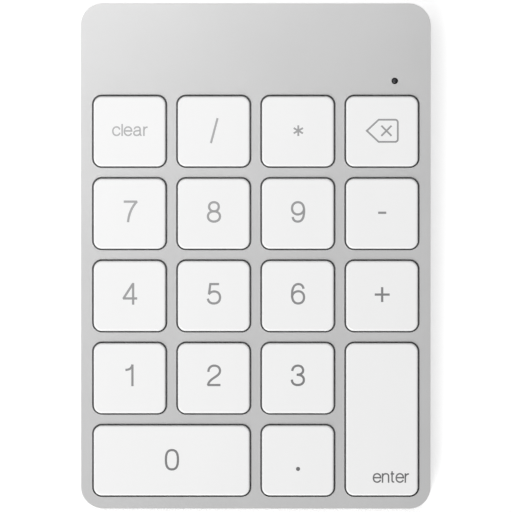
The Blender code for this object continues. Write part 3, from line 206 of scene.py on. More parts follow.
# Charging socket and power knob
SHELL_WALL = 0.0003
SHELL_EDGE = 0.00008
SHELL_BACK = 0.0010  # thickness of the shell's rear wall
PLUG_START = 0.00135  # middle of the insulator, from the shell's inner end
PLUG_THICKNESS = 0.0006
PLUG_GAP = 0.0001
TONGUE = (0.0067, 0.0050, 0.0007)
TONGUE_START = 0.0016
TONGUE_CORNER = 0.0002
TONGUE_EDGE = 0.0001
CONTACTS = 12
CONTACT_PITCH = 0.0005
CONTACT = (0.00026, 0.0038, 0.00006)
CONTACT_SHIFT = 0.0003  # towards the mouth, from the tongue's middle
CONTACT_RISE = 0.00001  # of a contact's middle, above the tongue's face
CONTACT_CORNER = 0.00002
FLANGE = 0.0005
FLANGE_GAP = 0.0002
FLANGE_CORNER = 0.0003
KNOB_ROOT = 0.0002  # how far the knob is sunk into its flange
KNOB_CORNER = 0.0007
KNOB_EDGE = 0.00015
RIDGES = 5
RIDGE_PITCH = 0.0005
RIDGE_RADIUS = 0.00016
RIDGE_OUT = 0.00005  # of a groove's axis, beyond the knob's face

# Stage; the paper floor glows a little, and more where the keypad shades it
FLOOR_SIZE = 2.0
FLOOR_DROP = 0.00005
FLOOR_GLOW = 0.15
SHADE_GLOW = 0.44
# (none, all) of the extra glow's fades, from the case's sides
FADE_RIGHT = (0.022, 0.008)
FADE_REAR = (0.016, 0.003)
RIGHT_SIDE = (-0.004, 0.001)
RIGHT_FRONT = (-0.010, 0.006)
REAR_SIDE = (-0.004, 0.001)
REAR_LEFT = (-0.014, 0.002)
WORLD_STRENGTH = 0.395
# name: (place, target, sides, power)
LIGHTS = {
    "overhead_light": ((-0.127, 0.127, 0.25), (-0.127, 0.127, 0), (0.50, 0.26), 0.40),
    "front_light": ((-0.40, -0.93, 0.80), (0, 0, 0), (0.70, 0.70), 10.2),
}
CAMERA_DISTANCE = 3.0
VIEW_WIDTH = 0.1160
CAMERA_OFFSET = (0.00005, 0.00008)


# ---------------------------------------------------------------- sizes and colours to change


def length(name, default, description):
    return FloatProperty(
        name=name, description=description, default=default, unit="LENGTH", precision=5, min=0.0
    )


def tint(name, default, description):
    return FloatVectorProperty(
        name=name, description=description, default=default, subtype="COLOR", size=3, min=0, max=1
    )


class KeypadSizes(bpy.types.PropertyGroup):
    """Lengths that shape the visible pieces"""

    wall: length("Case wall", 0.0015, "Thickness of the case's side walls")
    sheet: length("Deck sheet", 0.0010, "Thickness of the deck between the keys")
    case_corner: length("Case corner", 0.0050, "Plan radius of the case's four corners")
    deck_edge: length("Deck edge", 0.00012, "Rounding between the deck and the side walls")
    well_gap: length("Key gap", 0.00037, "Gap between a keycap and its well")
    well_corner: length("Well corner", 0.0022, "Plan radius of the well corners")
    well_chamfer: length("Well chamfer", 0.00006, "Bright cut along the top of each well")
    cap_top: length("Cap top", 0.0008, "Thickness of a keycap's top")
    cap_wall: length("Cap wall", 0.0008, "Thickness of a keycap's skirt")
    cap_edge: length("Cap edge", 0.00042, "Rounding of a keycap's upper edge")
    digit_height: length("Digit height", 0.0049, "Overall height of a printed digit")
    digit_stroke: length("Digit stroke", 0.00052, "Stroke width of digits and signs")
    word_height: length("Word height", 0.00224, "Height of the small letters in a printed word")
    word_stroke: length("Word stroke", 0.00034, "Stroke width of words and the erase sign")
    ink: length("Ink thickness", 0.000012, "How far the print stands above the keycap")
    foot_edge: length("Foot edge", 0.0003, "Rounding of a foot's lower edge")


class KeypadColours(bpy.types.PropertyGroup):
    """Base colours of the finishes"""

    aluminium: tint("Aluminium", (0.80, 0.80, 0.80), "Blasted and anodised case")
    cap: tint("Keycap", (0.92, 0.92, 0.92), "White keycap moulding")
    ink: tint("Ink", (0.150, 0.150, 0.153), "Printed legends where the ink is dense")
    # painted sheen: the lighter ink tone that the legends blend to towards the rear left, standing
    # in for a lamp's reflection
    ink_painted_sheen: tint("Painted ink sheen", (0.46, 0.46, 0.465), "Printed legends where a painted sheen lightens the ink")
    lens: tint("Lens", (0.005, 0.005, 0.006), "Smoked status light")
    cover: tint("Cover", (0.78, 0.78, 0.79), "White bottom cover")
    rubber: tint("Rubber", (0.34, 0.34, 0.35), "Feet")
    steel: tint("Steel", (0.62, 0.61, 0.60), "Screws, wires and plate")
    knob: tint("Knob", (0.80, 0.80, 0.81), "Power slider")


# ---------------------------------------------------------------- shader maths


class Value:
    """A socket in a material that sums can be written with."""

    def __init__(self, paint, socket):
        self.paint = paint
        self.socket = socket

    def maths(self, operation, *values):
        return self.paint.node("ShaderNodeMath", {"operation": operation}, dict(enumerate(values)))

    def __add__(self, other):
        return self.maths("ADD", self, other)

    def __sub__(self, other):
        return self.maths("SUBTRACT", self, other)

    def __mul__(self, other):
        return self.maths("MULTIPLY", self, other)

    def __rsub__(self, other):
        return self.maths("SUBTRACT", other, self)

    __radd__ = __add__
    __rmul__ = __mul__

    def above(self, edge):
        return self.maths("GREATER_THAN", self, edge)


class Paint:
    """A material under construction."""

    def __init__(self, name):
        self.material = bpy.data.materials.new(name)
        self.material.use_nodes = True
        self.tree = self.material.node_tree
        self.tree.nodes.clear()
        self.where = self.node("ShaderNodeTexCoord", output="Object")

    def node(self, kind, settings=None, inputs=None, output=0):
        """Adds a node: its settings first, then the values or links of its sockets."""
        made = self.tree.nodes.new(kind)
        for name, setting in (settings or {}).items():
            setattr(made, name, setting)
        for name, value in (inputs or {}).items():
            socket = made.inputs[name]
            if isinstance(value, Value):
                self.tree.links.new(value.socket, socket)
            elif socket.type == "RGBA":
                socket.default_value = (*value, 1.0)
            else:
                socket.default_value = value
        return Value(self, made.outputs[output])

    def stretched(self, scale):
        """Object coordinates scaled along each axis."""
        return self.node("ShaderNodeMapping", inputs={"Vector": self.where, "Scale": scale})

    def noise(self, scale, detail=2.0, where=None, distortion=0.0):
        inputs = {"Vector": where or self.where, "Scale": scale, "Detail": detail}
        inputs["Distortion"] = distortion
        return self.node("ShaderNodeTexNoise", inputs=inputs)

    def cells(self, scale):
        inputs = {"Vector": self.where, "Scale": scale}
        return self.node("ShaderNodeTexVoronoi", inputs=inputs, output="Distance")

    def blend(self, factor, first, second):
        """Mixes two colours."""
        inputs = {0: factor, 6: first, 7: second}
        return self.node("ShaderNodeMix", {"data_type": "RGBA"}, inputs, 2)

    def bump(self, height, distance, strength=1.0):
        inputs = {"Height": height, "Distance": distance, "Strength": strength}
        return self.node("ShaderNodeBump", inputs=inputs)

    def along(self, axis):
        """One of the object coordinates."""
        return self.node("ShaderNodeSeparateXYZ", inputs={0: self.where}, output=axis)

    def ramp(self, value, ends, origin=0.0):
        """Rises evenly from nought to one between two ends, measured from an origin."""
        inputs = {"Value": value, "From Min": origin + ends[0], "From Max": origin + ends[1]}
        return self.node("ShaderNodeMapRange", inputs=inputs)

    def done(self, **sockets):
        """Ends the material in one Principled shader and returns it."""
        inputs = {name.replace("_", " "): value for name, value in sockets.items()}
        shader = self.node("ShaderNodeBsdfPrincipled", inputs=inputs)
        output = self.tree.nodes.new("ShaderNodeOutputMaterial")
        self.tree.links.new(shader.socket, output.inputs["Surface"])
        return self.material


def shade(colour, factor):
    """A colour made lighter or darker."""
    return tuple(min(1.0, channel * factor) for channel in colour)


def blasted_aluminium(colour):
    """Glass-bead blasted and clear anodised: a fine sparkle of dents under a satin film."""
    paint = Paint("blasted_aluminium")
    dents = paint.cells(11000)
    grain = paint.noise(16000, 2.0)
    cloud = paint.noise(45, 3.0)
    base = paint.blend(cloud, shade(colour, 0.965), shade(colour, 1.02))
    return paint.done(
        Base_Color=paint.blend(grain, shade(colour, 0.95), base),
        Metallic=1.0,
        Roughness=0.375 + 0.08 * grain + 0.04 * cloud,
        Normal=paint.bump(dents + 0.5 * grain, 0.000008, 0.35),
    )


def satin_moulding(name, colour, roughness, grain_size=6500, coat=0.0):
    """A moulded plastic with the fine spark-eroded grain of its tool."""
    paint = Paint(name)
    grain = paint.noise(grain_size, 3.0)
    flow = paint.noise(110, 2.0, where=paint.stretched((1.0, 0.35, 1.0)))
    base = paint.blend(flow, shade(colour, 0.985), shade(colour, 1.012))
    return paint.done(
        Base_Color=base,
        Roughness=roughness + 0.10 * grain,
        Coat_Weight=coat,
        Coat_Roughness=0.25,
        Normal=paint.bump(grain, 0.000006, 0.5),
    )


def printed_ink(dense, thin):
    """Pad-printed ink: an uneven film, with a painted sheen that lightens it towards the rear left.
    """
    paint = Paint("legend_ink")
    film = paint.noise(4200, 3.0)
    # painted sheen: the ink blends to the lighter colour towards the rear left, standing in for a
    # lamp's reflection; the noise adds a real unevenness of the film
    painted_sheen = 0.47 + 9.6 * paint.along(1) - 6.6 * paint.along(0) + 0.08 * film
    cover = paint.node("ShaderNodeClamp", inputs={"Value": painted_sheen})
    return paint.done(
        Base_Color=paint.blend(cover, dense, thin),
        Roughness=0.48 + 0.12 * film,
        Normal=paint.bump(film, 0.000003, 0.4),
    )


def smoked_lens(colour, centre):
    """A dark moulded lens with a painted glint: a faint lighter spot a little left of and behind its
    axis, so that the rim stays darkest.
    """
    paint = Paint("smoked_lens")
    inputs = {"Vector": paint.where, "Location": [-value for value in centre]}
    local = paint.node("ShaderNodeMapping", inputs=inputs)
    reach = paint.node("ShaderNodeVectorMath", {"operation": "LENGTH"}, {0: local}, "Value")
    glint = paint.ramp(reach, LENS_GLINT)
    haze = paint.noise(3000, 2.0)
    return paint.done(
        # painted glint: the base colour is lighter in a small spot off the lens's axis
        Base_Color=paint.blend(glint, colour, shade(colour, 8.0)),
        Roughness=0.10 + 0.08 * haze,
        Specular_IOR_Level=0.30,
        Coat_Weight=0.12,
        Coat_Roughness=0.05,
    )


def moulded_rubber(colour):
    paint = Paint("foot_rubber")
    dust = paint.noise(900, 4.0)
    pores = paint.noise(7000, 3.0)
    return paint.done(
        Base_Color=paint.blend(dust, shade(colour, 0.86), shade(colour, 1.12)),
        Roughness=0.78 + 0.12 * dust,
        Normal=paint.bump(pores, 0.00002, 0.6),
    )


def brushed_steel(name, colour, scale, roughness=0.3):
    """Steel with its grain drawn out along the axis whose scale is small."""
    paint = Paint(name)
    lines = paint.noise(1.0, 4.0, where=paint.stretched(scale))
    stain = paint.noise(160, 3.0)
    return paint.done(
        Base_Color=paint.blend(lines, shade(colour, 0.86), shade(colour, 1.08)),
        Metallic=1.0,
        Roughness=roughness + 0.14 * lines + 0.05 * stain,
        Normal=paint.bump(lines, 0.000006, 0.5),
    )


def plated_contact():
    paint = Paint("gold_contact")
    wear = paint.noise(2600, 3.0)
    gold = (0.83, 0.61, 0.26)
    return paint.done(
        Base_Color=paint.blend(wear, shade(gold, 0.9), gold),
        Metallic=1.0,
        Roughness=0.22 + 0.12 * wear,
    )


def clear_silicone():
    """Milky silicone for the return domes and their sheet."""
    paint = Paint("dome_silicone")
    cloud = paint.noise(420, 3.0)
    milk = (0.84, 0.85, 0.86)
    return paint.done(
        Base_Color=paint.blend(cloud, shade(milk, 0.94), shade(milk, 1.05)),
        Roughness=0.42 + 0.15 * cloud,
        Normal=paint.bump(cloud, 0.00002, 0.3),
    )


def printed_film():
    """Polyester film with silver tracks that run across it between the contact pads."""
    paint = Paint("membrane_film")
    across = paint.node(
        "ShaderNodeTexWave",
        {"wave_type": "BANDS", "bands_direction": "Y"},
        {"Vector": paint.where, "Scale": 95.0, "Distortion": 1.2, "Detail": 1.0},
        "Fac",
    )
    track = across.above(0.93)
    cloud = paint.noise(300, 2.0)
    film = paint.blend(cloud, (0.42, 0.50, 0.48), (0.50, 0.58, 0.56))
    return paint.done(
        Base_Color=paint.blend(track, film, (0.62, 0.62, 0.63)),
        Roughness=0.22 + 0.12 * cloud + 0.15 * track,
        Normal=paint.bump(track, 0.00001, 0.6),
    )


def board_laminate():
    """Green solder resist over copper tracks on glass epoxy."""
    paint = Paint("board_laminate")
    grid = paint.node(
        "ShaderNodeTexBrick",
        {"offset": 0.37},
        {"Vector": paint.where, "Scale": 260.0, "Mortar Size": 0.09, "Mortar Smooth": 0.2},
        "Fac",
    )
    weave = paint.noise(2400, 2.0)
    resist = paint.blend(weave, (0.010, 0.085, 0.040), (0.016, 0.115, 0.055))
    return paint.done(
        Base_Color=paint.blend(grid, resist, (0.03, 0.19, 0.08)),
        Roughness=0.28 + 0.1 * weave,
        Normal=paint.bump(grid, 0.00002, 0.5),
        Coat_Weight=0.3,
    )


def pouch_foil():
    """The crinkled foil pouch of a flat cell."""
    paint = Paint("pouch_foil")
    crinkle = paint.noise(260, 5.0, distortion=0.6)
    return paint.done(
        Base_Color=paint.blend(crinkle, (0.52, 0.54, 0.57), (0.70, 0.71, 0.73)),
        Metallic=0.8,
        Roughness=0.26 + 0.2 * crinkle,
        Normal=paint.bump(crinkle, 0.0002, 0.5),
    )


# ---------------------------------------------------------------- shapes


def rounded_prism(bm, size, centre, corner, segments=12, along=2):
    """A box with the four edges along one axis rounded, and the faces at its two ends."""
    verts = bmesh.ops.create_cube(bm, size=1.0)["verts"]
    bmesh.ops.scale(bm, vec=size, verts=verts)
    bmesh.ops.translate(bm, vec=centre, verts=verts)
    own = set(verts)
    edges = [
        edge
        for edge in bm.edges
        if edge.verts[0] in own
        and abs((edge.verts[1].co - edge.verts[0].co)[along]) > 0.9 * edge.calc_length()
    ]
    round_edges(bm, edges, corner, segments)


def round_edges(bm, edges, radius, segments):
    """Rounds edges, or cuts them at 45 degrees where there is one segment."""
    bmesh.ops.bevel(
        bm,
        geom=edges,
        offset=radius,
        offset_type="OFFSET",
        segments=segments,
        profile=0.5,
        affect="EDGES",
        material=-1,
        clamp_overlap=True,
    )


def rim(bm, test):
    """The edges whose two ends both pass a test on their position."""
    return [edge for edge in bm.edges if all(test(vertex.co) for vertex in edge.verts)]


def turned(profile, steps, placing=None):
    """Spins a profile of (radius, height) pairs, whose ends are on the axis, round Z."""
    bm = bmesh.new()
    verts = [bm.verts.new((radius, 0, height)) for radius, height in profile]
    edges = [bm.edges.new(pair) for pair in zip(verts, verts[1:])]
    bmesh.ops.spin(
        bm,
        geom=verts + edges,
        cent=(0, 0, 0),
        axis=(0, 0, 1),
        angle=math.tau,
        steps=steps,
        use_merge=True,
    )
    bmesh.ops.remove_doubles(bm, verts=bm.verts, dist=WELD)
    bmesh.ops.recalc_face_normals(bm, faces=bm.faces)
    return mesh_from(bm, placing)


def slope_cut(bm, depth):
    """Takes off everything above the plane at a depth from the deck and closes the cut."""
    cut = bmesh.ops.bisect_plane(
        bm,
        geom=bm.verts[:] + bm.edges[:] + bm.faces[:],
        plane_co=DECK @ Vector((0, 0, depth)),
        plane_no=DECK_NORMAL,
        clear_outer=True,
    )
    edges = [item for item in cut["geom_cut"] if isinstance(item, bmesh.types.BMEdge)]
    bmesh.ops.contextual_create(bm, geom=edges)
    return edges


def case_wedge(inset, bottom, depth, segments):
    """The case's outline moved in by an inset, between a level floor and the sloping deck."""
    corner = bpy.context.scene.keypad_sizes.case_corner - inset
    size = CASE_HIGH - CASE_LOW - Vector((2 * inset, 2 * inset, 0))
    tall = 2 * size.z
    bm = bmesh.new()
    place = (CASE_CENTRE.x, CASE_CENTRE.y, bottom + tall / 2)
    rounded_prism(bm, (size.x, size.y, tall), place, corner, segments)
    return bm, slope_cut(bm, depth)


def mesh_from(bm, placing=None):
    """Ends a bmesh in a mesh, put in its place."""
    mesh = bpy.data.meshes.new("shape")
    if placing:
        bm.transform(placing)
    bm.to_mesh(mesh)
    bm.free()
    return mesh


def cut_mesh(solid, cutters):
    """A mesh with others cut away from it."""
    scene = bpy.context.scene
    body = bpy.data.objects.new("solid", solid)
    scene.collection.objects.link(body)
    tools = []
    for cutter in cutters:
        tool = bpy.data.objects.new("cut", cutter)
        scene.collection.objects.link(tool)
        modifier = body.modifiers.new("cut", "BOOLEAN")
        modifier.operation = "DIFFERENCE"
        modifier.object = tool
        tools.append(tool)
    bpy.context.view_layer.update()
    evaluated = body.evaluated_get(bpy.context.evaluated_depsgraph_get())
    mesh = bpy.data.meshes.new_from_object(evaluated)
    for item in (body, *tools):
        bpy.data.objects.remove(item)
    return mesh


def add_piece(name, mesh, material, body, stands_for=(), sharp=30, flat_faces=True):
    """Makes a finished piece: smooth, sharp at its corners, riding on its body."""
    mesh.name = name
    mesh.materials.clear()
    mesh.materials.append(material)
    mesh.shade_smooth()
    mesh.set_sharp_from_angle(angle=math.radians(sharp))
    piece = bpy.data.objects.new(name, mesh)
    bpy.context.scene.collection.objects.link(piece)
    if flat_faces:
        weighting = piece.modifiers.new("flat faces", "WEIGHTED_NORMAL")
        weighting.keep_sharp = True
        weighting.weight = 100
    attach(piece, body)
    if stands_for:
        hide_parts(*stands_for)
    return piece


def paint_node(node, material):
    """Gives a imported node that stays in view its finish."""
    mesh = NODES[node].data
    mesh.materials.clear()
    mesh.materials.append(material)


def cap_span(name):
    """Deck coordinates of a key's packed cap."""
    return span("keycap_" + name, DECK)


# ---------------------------------------------------------------- legends

# Strokes on centre lines: M moves, L draws a line, C draws a curve with two handles.
# A digit is one unit tall, and a small letter's body is one unit tall.
DIGITS = {
    "0": "M .32 1 C .57 1 .63 .79 .63 .5 C .63 .21 .57 0 .32 0 "
    "C .07 0 .01 .21 .01 .5 C .01 .79 .07 1 .32 1",
    "1": "M -.05 .78 C .16 .79 .28 .86 .31 1.06 M .31 1.06 L .31 -.06",
    "2": "M .02 .68 C .02 .88 .14 1 .33 1 C .50 1 .62 .89 .62 .73 C .62 .42 .04 .36 0 0 L .64 0",
    "3": "M .03 .73 C .05 .90 .16 1 .32 1 C .48 1 .59 .90 .59 .76 C .59 .62 .48 .53 .26 .53 "
    "M .26 .53 C .50 .53 .63 .43 .63 .27 C .63 .10 .50 0 .31 0 C .12 0 .01 .11 .01 .28",
    "4": "M .70 .26 L -.01 .26 L .47 1 M .49 1.06 L .49 -.06",
    "5": "M .58 1 L .13 1 L .06 .49 C .13 .57 .22 .62 .33 .62 C .51 .62 .63 .50 .63 .31 "
    "C .63 .12 .50 0 .31 0 C .13 0 .02 .09 0 .25",
    "6": "M .60 .76 C .57 .92 .48 1 .34 1 C .12 1 .01 .81 .01 .45 C .01 .15 .12 0 .33 0 "
    "C .51 0 .63 .13 .63 .32 C .63 .50 .51 .63 .34 .63 C .16 .63 .02 .51 .01 .33",
    "7": "M -.02 1 L .65 1 C .43 .76 .25 .42 .20 -.06",
    "8": "M .32 1 C .47 1 .57 .90 .57 .77 C .57 .63 .47 .53 .32 .53 C .17 .53 .07 .63 .07 .77 "
    "C .07 .90 .17 1 .32 1 M .32 .53 C .51 .53 .63 .42 .63 .27 C .63 .11 .50 0 .32 0 "
    "C .14 0 .01 .11 .01 .27 C .01 .42 .13 .53 .32 .53",
    "9": "M .04 .24 C .07 .08 .16 0 .30 0 C .52 0 .63 .19 .63 .55 C .63 .85 .52 1 .31 1 "
    "C .13 1 .01 .87 .01 .68 C .01 .50 .13 .37 .30 .37 C .48 .37 .62 .49 .63 .67",
}
LETTERS = {
    "a": "M .06 .72 C .09 .91 .22 1 .42 1 C .64 1 .74 .90 .74 .72 L .74 .20 "
    "C .74 .06 .80 0 .92 .02 M .74 .60 C .58 .50 0 .64 0 .27 "
    "C 0 .10 .12 0 .32 0 C .56 0 .74 .14 .74 .36",
    "c": "M .82 .70 C .76 .90 .62 1 .44 1 C .17 1 0 .80 0 .5 C 0 .20 .17 0 .44 0 "
    "C .64 0 .78 .11 .83 .32",
    "e": "M .02 .53 L .85 .53 C .85 .82 .68 1 .43 1 C .16 1 0 .79 0 .5 C 0 .20 .17 0 .44 0 "
    "C .63 0 .77 .10 .83 .28",
    "l": "M 0 -.07 L 0 1.36",
    "n": "M 0 -.07 L 0 1.05 M 0 .64 C .05 .87 .18 1 .39 1 C .61 1 .72 .88 .72 .66 L .72 -.07",
    "r": "M 0 -.07 L 0 1.05 M 0 .60 C .05 .86 .18 .99 .44 .97",
    "t": "M .18 1.30 L .18 .22 C .18 .06 .25 .01 .44 .02 M 0 .98 L .44 .98",
}
CURVE_STEPS = 10
CORNER_TURN = math.radians(28)
SHARP_TURN = math.radians(100)
# The prints sit a little to the right of their caps' middles, and each row sits at its own height
PRINT_SHIFT = 0.00005
NUDGES = {"7": 0.00009, "4": 0.00011, "1": -0.00021, "delete": 0.00002, "3": -0.00004}
NUDGES.update({"clear": 0.00010, "divide": 0.00007, "multiply": 0.00005, "2": 0.00006})
RISES = {"7": 0.00042, "4": 0.00052, "1": 0.00068, "0": 0.00019, "plus": 0.00034, "minus": 0.00023}
RISES.update({"8": RISES["7"], "9": RISES["7"], "5": RISES["4"], "6": RISES["4"]})
RISES.update({"2": RISES["1"], "3": RISES["1"], "decimal": -0.00189, "clear": -0.00089})
RISES.update({"divide": 0.00018, "multiply": 0.00017, "delete": 0.00015})
SIGN_SIZE = 0.00337
MINUS_LENGTH = 0.00183
STAR_RADIUS = 0.00120
SLASH_SIZE = (0.00149, 0.00563)
POINT_RADIUS = 0.00047
ERASE_LENGTH = 0.00700
ERASE_HEIGHT = 0.00500
ERASE_CORNER = 0.0006
ERASE_POINT = 0.00267
ERASE_CROSS = 0.00115
ERASE_CROSS_SHIFT = 0.00093
# Stroke widths over those of the digits or, for the erase sign, of the words
SLASH_STROKE = 0.92
STAR_STROKE = 0.8
ERASE_STROKE = 1.2
WORD_WIDTHS = {"clear": 0.00818, "enter": 0.00838}
ENTER_RIGHT = 0.00180  # from the cap's right side
ENTER_BASELINE = 0.00302  # from the cap's near side


def pen_strokes(drawing):
    """The polylines of a drawing: a stroke ends where the pen moves or turns sharply."""
    words = drawing.split()
    strokes, points, index = [], [], 0
    while index < len(words):
        command, index = words[index], index + 1
        count = 3 if command == "C" else 1
        numbers = [float(word) for word in words[index : index + 2 * count]]
        index += 2 * count
        given = [Vector(pair) for pair in zip(numbers[::2], numbers[1::2])]
        if command == "M":
            strokes.append(points)
            points = given
        elif command == "L":
            points.append(given[0])
        else:
            start = points[-1]
            for step in range(1, CURVE_STEPS + 1):
                along = step / CURVE_STEPS
                rest = 1 - along
                points.append(
                    start * rest**3
                    + given[0] * 3 * rest**2 * along
                    + given[1] * 3 * rest * along**2
                    + given[2] * along**3
                )
    strokes.append(points)
    return [stroke for stroke in strokes if stroke]


def split_at_corners(points, half):
    """Breaks a polyline where it turns sharply, and runs both parts on to fill the corner."""
    parts, part = [], [points[0]]
    for index in range(1, len(points)):
        here = points[index]
        if index < len(points) - 1:
            before = (here - points[index - 1]).normalized()
            after = (points[index + 1] - here).normalized()
            turn = before.angle(after)
            if turn > CORNER_TURN:
                reach = half * (math.tan(turn / 2) if turn < SHARP_TURN else 0.4)
                parts.append([*part, here + before * reach])
                part = [here - after * reach]
                continue
        part.append(here)
    parts.append(part)
    return parts


def ink_mesh(strokes, width, centre, top):
    """A flat raised print of strokes, placed on the deck at a centre."""
    curve = bpy.data.curves.new("strokes", "CURVE")
    curve.dimensions = "3D"
    curve.bevel_depth = width / 2
    curve.bevel_resolution = 2
    curve.use_fill_caps = True
    for points in [part for stroke in strokes for part in split_at_corners(stroke, width / 2)]:
        closed = (points[0] - points[-1]).length < width / 20
        points = points[:-1] if closed else points
        spline = curve.splines.new("POLY")
        spline.points.add(len(points) - 1)
        spline.use_cyclic_u = closed
        for point, place in zip(spline.points, points):
            point.co = (place.x, place.y, 0, 1)
    holder = bpy.data.objects.new("strokes", curve)
    bpy.context.scene.collection.objects.link(holder)
    bpy.context.view_layer.update()
    evaluated = holder.evaluated_get(bpy.context.evaluated_depsgraph_get())
    mesh = bpy.data.meshes.new_from_object(evaluated)
    bpy.data.objects.remove(holder)
    bm = bmesh.new()
    bm.from_mesh(mesh)
    bmesh.ops.remove_doubles(bm, verts=bm.verts, dist=WELD)
    bmesh.ops.recalc_face_normals(bm, faces=bm.faces)
    thin = 2 * bpy.context.scene.keypad_sizes.ink / width
    place = Matrix.Translation((centre[0], centre[1], top)) @ Matrix.Diagonal((1, 1, thin, 1))
    bm.transform(DECK @ place)
    bm.to_mesh(mesh)
    bm.free()
    return mesh


def centred(strokes):
    """Moves strokes so that the middle of their box is at the origin."""
    middle = corners([point for stroke in strokes for point in stroke])[2]
    return [[point - middle for point in stroke] for stroke in strokes]


def scaled(strokes, factor):
    return [[point * factor for point in stroke] for stroke in strokes]


def line(*points):
    return [Vector(point) for point in points]


def digit_strokes(digit, sizes):
    height = sizes.digit_height - sizes.digit_stroke
    return centred(scaled(pen_strokes(DIGITS[digit]), height))


def word_strokes(word, sizes):
    """A word whose letters are spaced to fill its width; its baseline is Y = 0."""
    height = sizes.word_height - sizes.word_stroke
    letters = [scaled(pen_strokes(LETTERS[letter]), height) for letter in word]
    widths = [max(point.x for stroke in letter for point in stroke) for letter in letters]
    inside = WORD_WIDTHS[word] - sizes.word_stroke
    gap = (inside - sum(widths)) / (len(word) - 1)
    strokes, start = [], -inside / 2
    for letter, width in zip(letters, widths):
        strokes += [[point + Vector((start, 0)) for point in stroke] for stroke in letter]
        start += width + gap
    return strokes


def star_strokes():
    angles = [math.radians(90 + 60 * arm) for arm in range(3)]
    arms = [Vector((math.cos(angle), math.sin(angle))) * STAR_RADIUS for angle in angles]
    return [line(arm, -arm) for arm in arms]


def erase_strokes():
    """An arrow-ended box round a small cross."""
    half, tall, corner = ERASE_LENGTH / 2, ERASE_HEIGHT / 2, ERASE_CORNER
    quarter = [math.radians(15 * step) for step in range(7)]
    bend = [Vector((math.cos(angle), math.sin(angle))) * corner for angle in quarter]
    upper = [Vector((half - corner, tall - corner)) + spot for spot in bend]
    upper = [Vector((half, 0)), *upper, Vector((-half + ERASE_POINT, tall)), Vector((-half, 0))]
    lower = [Vector((spot.x, -spot.y)) for spot in reversed(upper[:-1])]
    outline = upper + lower
    across = ERASE_CROSS
    middle = Vector((ERASE_CROSS_SHIFT, 0))
    cross = [
        line(middle + Vector((-across, -across)), middle + Vector((across, across))),
        line(middle + Vector((-across, across)), middle + Vector((across, -across))),
    ]
    return [outline, *cross]


def legend_strokes(name, sizes):
    """(strokes, stroke width, centre on the deck) of a key's legend."""
    low, high, middle = cap_span(name)
    centre = Vector((middle.x + PRINT_SHIFT + NUDGES.get(name, 0), middle.y + RISES.get(name, 0)))
    half = SIGN_SIZE / 2
    minus = MINUS_LENGTH / 2
    if name in DIGITS:
        return digit_strokes(name, sizes), sizes.digit_stroke, centre
    if name == "clear":
        return word_strokes(name, sizes), sizes.word_stroke, centre
    if name == "enter":
        corner = Vector((high.x - ENTER_RIGHT - WORD_WIDTHS[name] / 2, low.y + ENTER_BASELINE))
        return word_strokes(name, sizes), sizes.word_stroke, corner
    if name == "divide":
        slope = Vector(SLASH_SIZE) / 2
        return [line(-slope, slope)], SLASH_STROKE * sizes.digit_stroke, centre
    if name == "multiply":
        return star_strokes(), STAR_STROKE * sizes.digit_stroke, centre
    if name == "minus":
        return [line((-minus, 0), (minus, 0))], sizes.digit_stroke, centre
    if name == "plus":
        arms = [line((-half, 0), (half, 0)), line((0, -half), (0, half))]
        return arms, sizes.digit_stroke, centre
    if name == "delete":
        return erase_strokes(), ERASE_STROKE * sizes.word_stroke, centre
    raise ValueError(f"no legend is drawn for key {name}")


def point_mesh(centre, top):
    """The decimal point: a printed disc."""
    bm = bmesh.new()
    thick = 2 * bpy.context.scene.keypad_sizes.ink
    bmesh.ops.create_cone(
        bm, cap_ends=True, segments=32, radius1=POINT_RADIUS, radius2=POINT_RADIUS, depth=thick
    )
    return mesh_from(bm, DECK @ Matrix.Translation((*centre, top)))


# ---------------------------------------------------------------- pieces: case


def case_cutters(sizes):
    """Everything that is taken out of the case: its inside, the wells and the openings."""
    cutters = []
    hollow, _ = case_wedge(sizes.wall, CASE_LOW.z - sizes.wall, -sizes.sheet, 16)
    cutters.append(mesh_from(hollow))
    wells = bmesh.new()
    for name in KEY_NAMES:
        low, high, middle = cap_span(name)
        well = (high - low).xy + Vector((2 * sizes.well_gap, 2 * sizes.well_gap))
        flared_well(wells, well, middle, sizes)
    cutters.append(mesh_from(wells, DECK))
    openings = bmesh.new()
    low, high, middle = span("usb_socket")
    size = high - low + Vector((2 * OPENING_GAP, 0, 2 * OPENING_GAP))
    rear_opening(openings, size, middle, size.z / 2 - OPENING_FLAT, 12, sizes)
    low, high = slider_slot()
    size = high - low
    rear_opening(openings, size, (low + high) / 2, size.z * SLOT_ROUNDING, 10, sizes)
    cutters.append(mesh_from(openings))
    deep, chamfer = -3 * sizes.sheet, sizes.well_chamfer
    profile = (
        (0.0, deep),
        (LIGHT_HOLE, deep),
        (LIGHT_HOLE, -chamfer),
        (LIGHT_HOLE + 4 * chamfer, 3 * chamfer),
        (0.0, 3 * chamfer),
    )
    cutters.append(turned(profile, 48, on_deck(span("light_pipe", DECK)[2])))
    return cutters


def on_deck(spot):
    """A placing on the deck, right above a spot."""
    return DECK @ Matrix.Translation((spot.x, spot.y, 0))


def rear_opening(bm, size, middle, corner, segments, sizes):
    """A cutter through the rear wall."""
    size = (size.x, 2 * sizes.wall, size.z)
    place = (middle.x, CASE_HIGH.y - sizes.wall / 2, middle.z)
    rounded_prism(bm, size, place, corner, segments, along=1)


